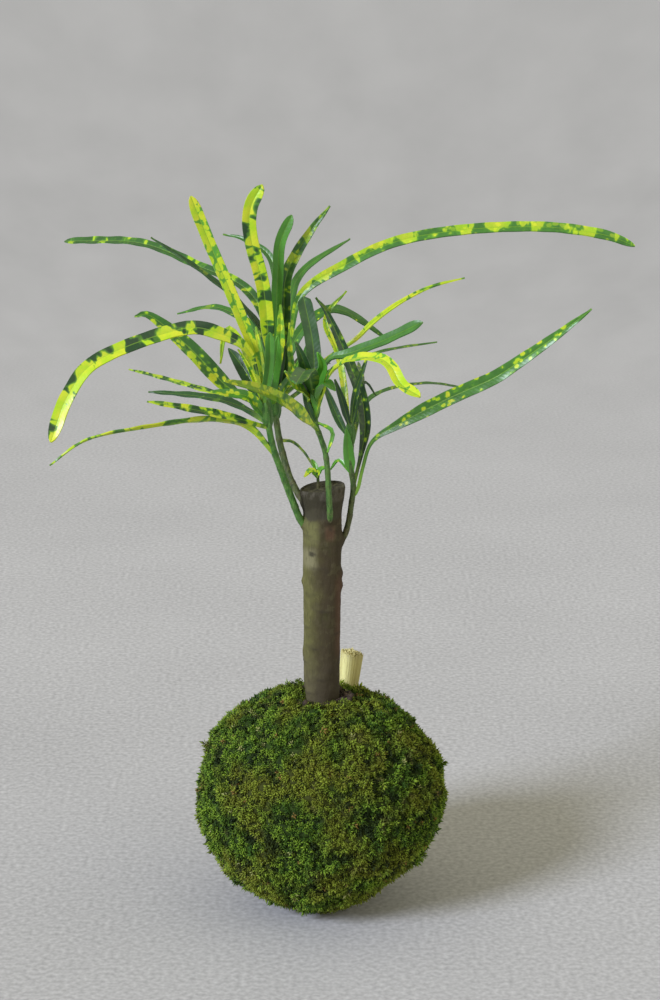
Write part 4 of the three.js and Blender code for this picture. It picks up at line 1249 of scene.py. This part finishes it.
def model_leaf(shoot, leaf, number):
    line = Line([Line(shoot.stem).at(leaf.at), *leaf.line])
    rows, columns = max(8, round(line.length / ROW_LENGTH)), len(COLUMNS) - 1
    blade = added(bpy.ops.mesh.primitive_grid_add, x_subdivisions=columns, y_subdivisions=rows, size=2)
    flat = (read_points(blade)[:, :2] + 1) / 2
    x = COLUMNS[np.round(flat[:, 0] * columns).astype(int)]
    along = 1 - (1 - flat[:, 1]) ** MOST_AT_TIP
    half, opened = outline(along, leaf)
    along_mm, across_mm = along * line.length, x * half
    wave = np.sin(2 * np.pi * along_mm / WAVE_LENGTH + WAVE_SHIFT * number) * np.sign(x) * np.abs(x) ** 3
    wave *= WAVE_RISE * min(1, leaf.width / WAVE_FULL_WIDTH)
    cup = FOLD * half * np.sqrt(x**2 + FOLD_ROUNDING) - RIB_DEPTH * np.exp(-((across_mm / RIB_WIDTH) ** 2))
    turn = leaf.turn if isinstance(leaf.turn, tuple) else (leaf.turn, leaf.turn)
    write_points(blade, bend(np.stack([across_mm, along, (cup + wave) * opened], axis=1), line, turn))
    lay_leaf_map(blade, along_mm, across_mm, number)

    yellow, band, shade = leaf.looks
    yellow = yellow + leaf.lean * x + leaf.fade * (along - 0.5)
    for name, value in {"yellow": yellow, "band": band, "shade": shade, "along": along}.items():
        store(blade, name, value)

    depth = min(STALK_DEPTH, leaf.width * STALK_SLIMMEST)
    group = blade.vertex_groups.new(name="stalk")
    for index, share in enumerate((1 - opened).tolist()):
        group.add([index], share, "REPLACE")
    thin = {"vertex_group": "stalk", "thickness_vertex_group": BLADE_THICKNESS / depth}
    modify(blade, "SOLIDIFY", thickness=depth * MM, offset=0, **thin)
    return blade


# %% [markdown]
# ## Stems
# A stem is a cylinder bent along its own line. Where old leaves dropped it has small rings, and its head
# is a bud where the new leaf bases are packed. Green wood and brown wood are one material, mixed by a
# value that is stored along the stem.

# %% Model the stems
STEM_SIDES, STEM_RINGS = 16, 46
NODE_SPACING, NODE_RISE, NODE_LENGTH = 6.5, 0.16, 0.7
STEM_LUMPS = 0.05
NODE_BROWN, FOOT_BROWN, FOOT_BROWN_TO_MM = 0.25, 0.9, (8, 4.5)
BUD_AT = 0.92
BUD_LENGTH, BUD_RIBS, BUD_RIB_RISE, BUD_BROWN = 2.6, 5, 0.12, 0.1


def model_stem(shoot):
    line = Line(shoot.stem)
    stem = added(bpy.ops.mesh.primitive_cylinder_add, vertices=STEM_SIDES, radius=1, depth=1)
    cut_into_rings(stem, STEM_RINGS)
    straight = read_points(stem)
    along = straight[:, 2] + 0.5
    along_mm = along * line.length
    node = np.exp(-((((along_mm % NODE_SPACING) - NODE_SPACING / 2) / NODE_LENGTH) ** 2))
    radius = mix(*shoot.radius, along) * (1 + STEM_LUMPS * lumps(straight * (1, 1, 9), 1.0, 9))
    radius += NODE_RISE * node
    laid = np.stack([straight[:, 0] * radius, along, straight[:, 1] * radius], axis=1)
    write_points(stem, bend(laid, line, (90, 90)))
    wood = mix(*shoot.wood, along) + NODE_BROWN * node + FOOT_BROWN * smooth(along_mm, *FOOT_BROWN_TO_MM)
    store(stem, "wood", np.clip(wood, 0, 1))
    return stem


def model_bud(shoot):
    line = Line(shoot.stem)
    bud = added(bpy.ops.mesh.primitive_uv_sphere_add, segments=14, ring_count=12, radius=1)
    ball = read_points(bud)
    ribs = 1 + BUD_RIB_RISE * np.sin(BUD_RIBS * np.arctan2(ball[:, 1], ball[:, 0]))
    shaped = ball * shoot.crown * (1, 1, BUD_LENGTH) * ribs[:, None]
    heading = line.heading(np.array([BUD_AT]))[0]
    write_points(bud, (shaped @ tilt_to(heading) + line.at(BUD_AT)) * MM)
    store(bud, "wood", BUD_BROWN)
    return bud


# %% [markdown]
# ## The speckled leaf finish
# A croton's pattern follows its blade, so it's drawn on the leaf's own map, which is in tenths of a metre
# along and across. Specks are the middles of small cells. Bands are a soft noise that is stretched across
# the blade and cut off at a level, and the level is worked out from how yellow the leaf is. A wider,
# softer copy of the same mask gives the bright green halo that lies between yellow and dark green.

# %% Mix the leaf finish
LEAF = {
    # painted sheen: the black green is lightened a little, so that dark leaves also carry some of the light's
    # sheen
    "black green": rgb(0.017, 0.056, 0.018),
    "bright green": rgb(0.100, 0.340, 0.036),
    "halo": rgb(0.160, 0.420, 0.020),
    "lime": rgb(0.400, 0.620, 0.015),
    "gold": rgb(0.600, 0.660, 0.030),
    "rib": rgb(0.26, 0.46, 0.03),
    "stalk": rgb(0.20, 0.36, 0.03),
}
BAND_SCALE, SPECK_SCALE = (13.0, 8.0, 1.0), (29.0, 40.0, 1.0)
BAND_EDGE, BAND_HALO = (-0.012, 0.02), (-0.07, 0.02)
SPECK_EDGE, SPECK_HALO = (-0.03, 0.04), (-0.22, 0.05)
RIB_MM = (0.42, 0.12)
VEIN_ALONG, VEIN_ACROSS = 330.0, 260.0  # so that the side veins run forwards from the rib


def leaf_finish():
    f = Finish("speckled croton leaf")
    uv = f.node("ShaderNodeUVMap", {"uv_map": LEAF_UV}, output="UV")
    along, beside = f.axis(uv, "X"), abs(f.axis(uv, "Y"))
    yellow, band, shade = f.drawn("yellow"), f.drawn("band"), f.drawn("shade")
    bands = f.noise(f.stretched(uv, *BAND_SCALE), 1.0, detail=2.5, roughness=0.6, distortion=0.4)
    in_band = bands - (0.5 + (0.5 - yellow) * 0.32)
    specks = f.cells(f.stretched(uv, *SPECK_SCALE), 1.0) + f.noise(uv, 36.0) * 0.7
    in_speck = yellow * 0.62 + 0.35 - specks
    any_speck = yellow.rise(0.0, 0.08)

    def laid_out(speck_edge, band_edge):
        """Specks where band is 0 and bands where it is 1, each with its own soft edge."""
        speck = in_speck.rise(*speck_edge) * any_speck
        return speck + (in_band.rise(*band_edge) - speck) * band

    tone = shade + (f.noise(uv, 22.0) - 0.5) * 0.35
    green = f.mix(tone.rise(0.0, 1.0), LEAF["black green"], LEAF["bright green"])
    gold = f.mix(f.noise(uv, 14.0).rise(0.35, 0.65), LEAF["lime"], LEAF["gold"])
    rib = (beside * (1 / UV_PER_MM)).rise(*RIB_MM)
    colour = f.mix(laid_out(SPECK_HALO, BAND_HALO) * 0.75, green, LEAF["halo"])
    colour = f.mix(laid_out(SPECK_EDGE, BAND_EDGE), colour, gold)
    colour = f.mix(rib * (0.25 + yellow * 0.4), colour, LEAF["rib"])
    colour = f.mix(f.drawn("along").rise(0.16, 0.02) * 0.8, colour, LEAF["stalk"])
    vein = along.math("SINE", along * VEIN_ALONG - beside * VEIN_ACROSS)
    relief = f.bump(vein * 0.12 + f.noise(uv, 90.0) * 0.6, 0.07 * MM)
    gloss = f.noise(uv, 30.0) * 0.16 + 0.27
    return f.paint(Base_Color=colour, Roughness=gloss, Specular_IOR_Level=0.5, Normal=relief)


# %% [markdown]
# ## The stem finish
# A young croton stem is green and smooth, and turns brown and dull from its foot. Both are streaked along
# the stem and dotted with pale pores.


# %% Mix the stem finish
def stem_finish():
    f = Finish("croton stem")
    wood = f.drawn("wood")
    streak = f.noise(f.place(1.0, 1.0, 0.25), 900.0, detail=3.0)
    streaked = streak.rise(0.35, 0.65)
    green = f.mix(streaked, rgb(0.032, 0.120, 0.018), rgb(0.078, 0.215, 0.032))
    brown = f.mix(streaked, rgb(0.048, 0.044, 0.020), rgb(0.115, 0.105, 0.046))
    pores = f.noise(f.place(), 1500.0).rise(0.62, 0.7) * 0.5
    colour = f.mix(pores, f.mix(wood, green, brown), rgb(0.25, 0.28, 0.12))
    gloss, relief = wood * 0.25 + 0.42, f.bump(streak, 0.2 * MM)
    return f.paint(Base_Color=colour, Roughness=gloss, Specular_IOR_Level=0.4, Normal=relief)


# %% Grow the shoots
leaf_material, stem_material = leaf_finish(), stem_finish()
for order, shoot in enumerate(SHOOTS):
    blades = [model_leaf(shoot, leaf, order * 20 + k) for k, leaf in enumerate(shoot.leaves)]
    settle(join(blades), shoot.node + "_leaves", leaf_material, [shoot.node], smooth_deg=60)
    stem = join([model_stem(shoot), model_bud(shoot)])
    settle(stem, shoot.node + "_stem", stem_material, smooth_deg=60)

# %% [markdown]
# ## The size of the dressed plant
# The dressed plant may stand proud of the measured solids only a little. Its box is measured last.

# %% Measure the dressed plant
low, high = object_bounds()
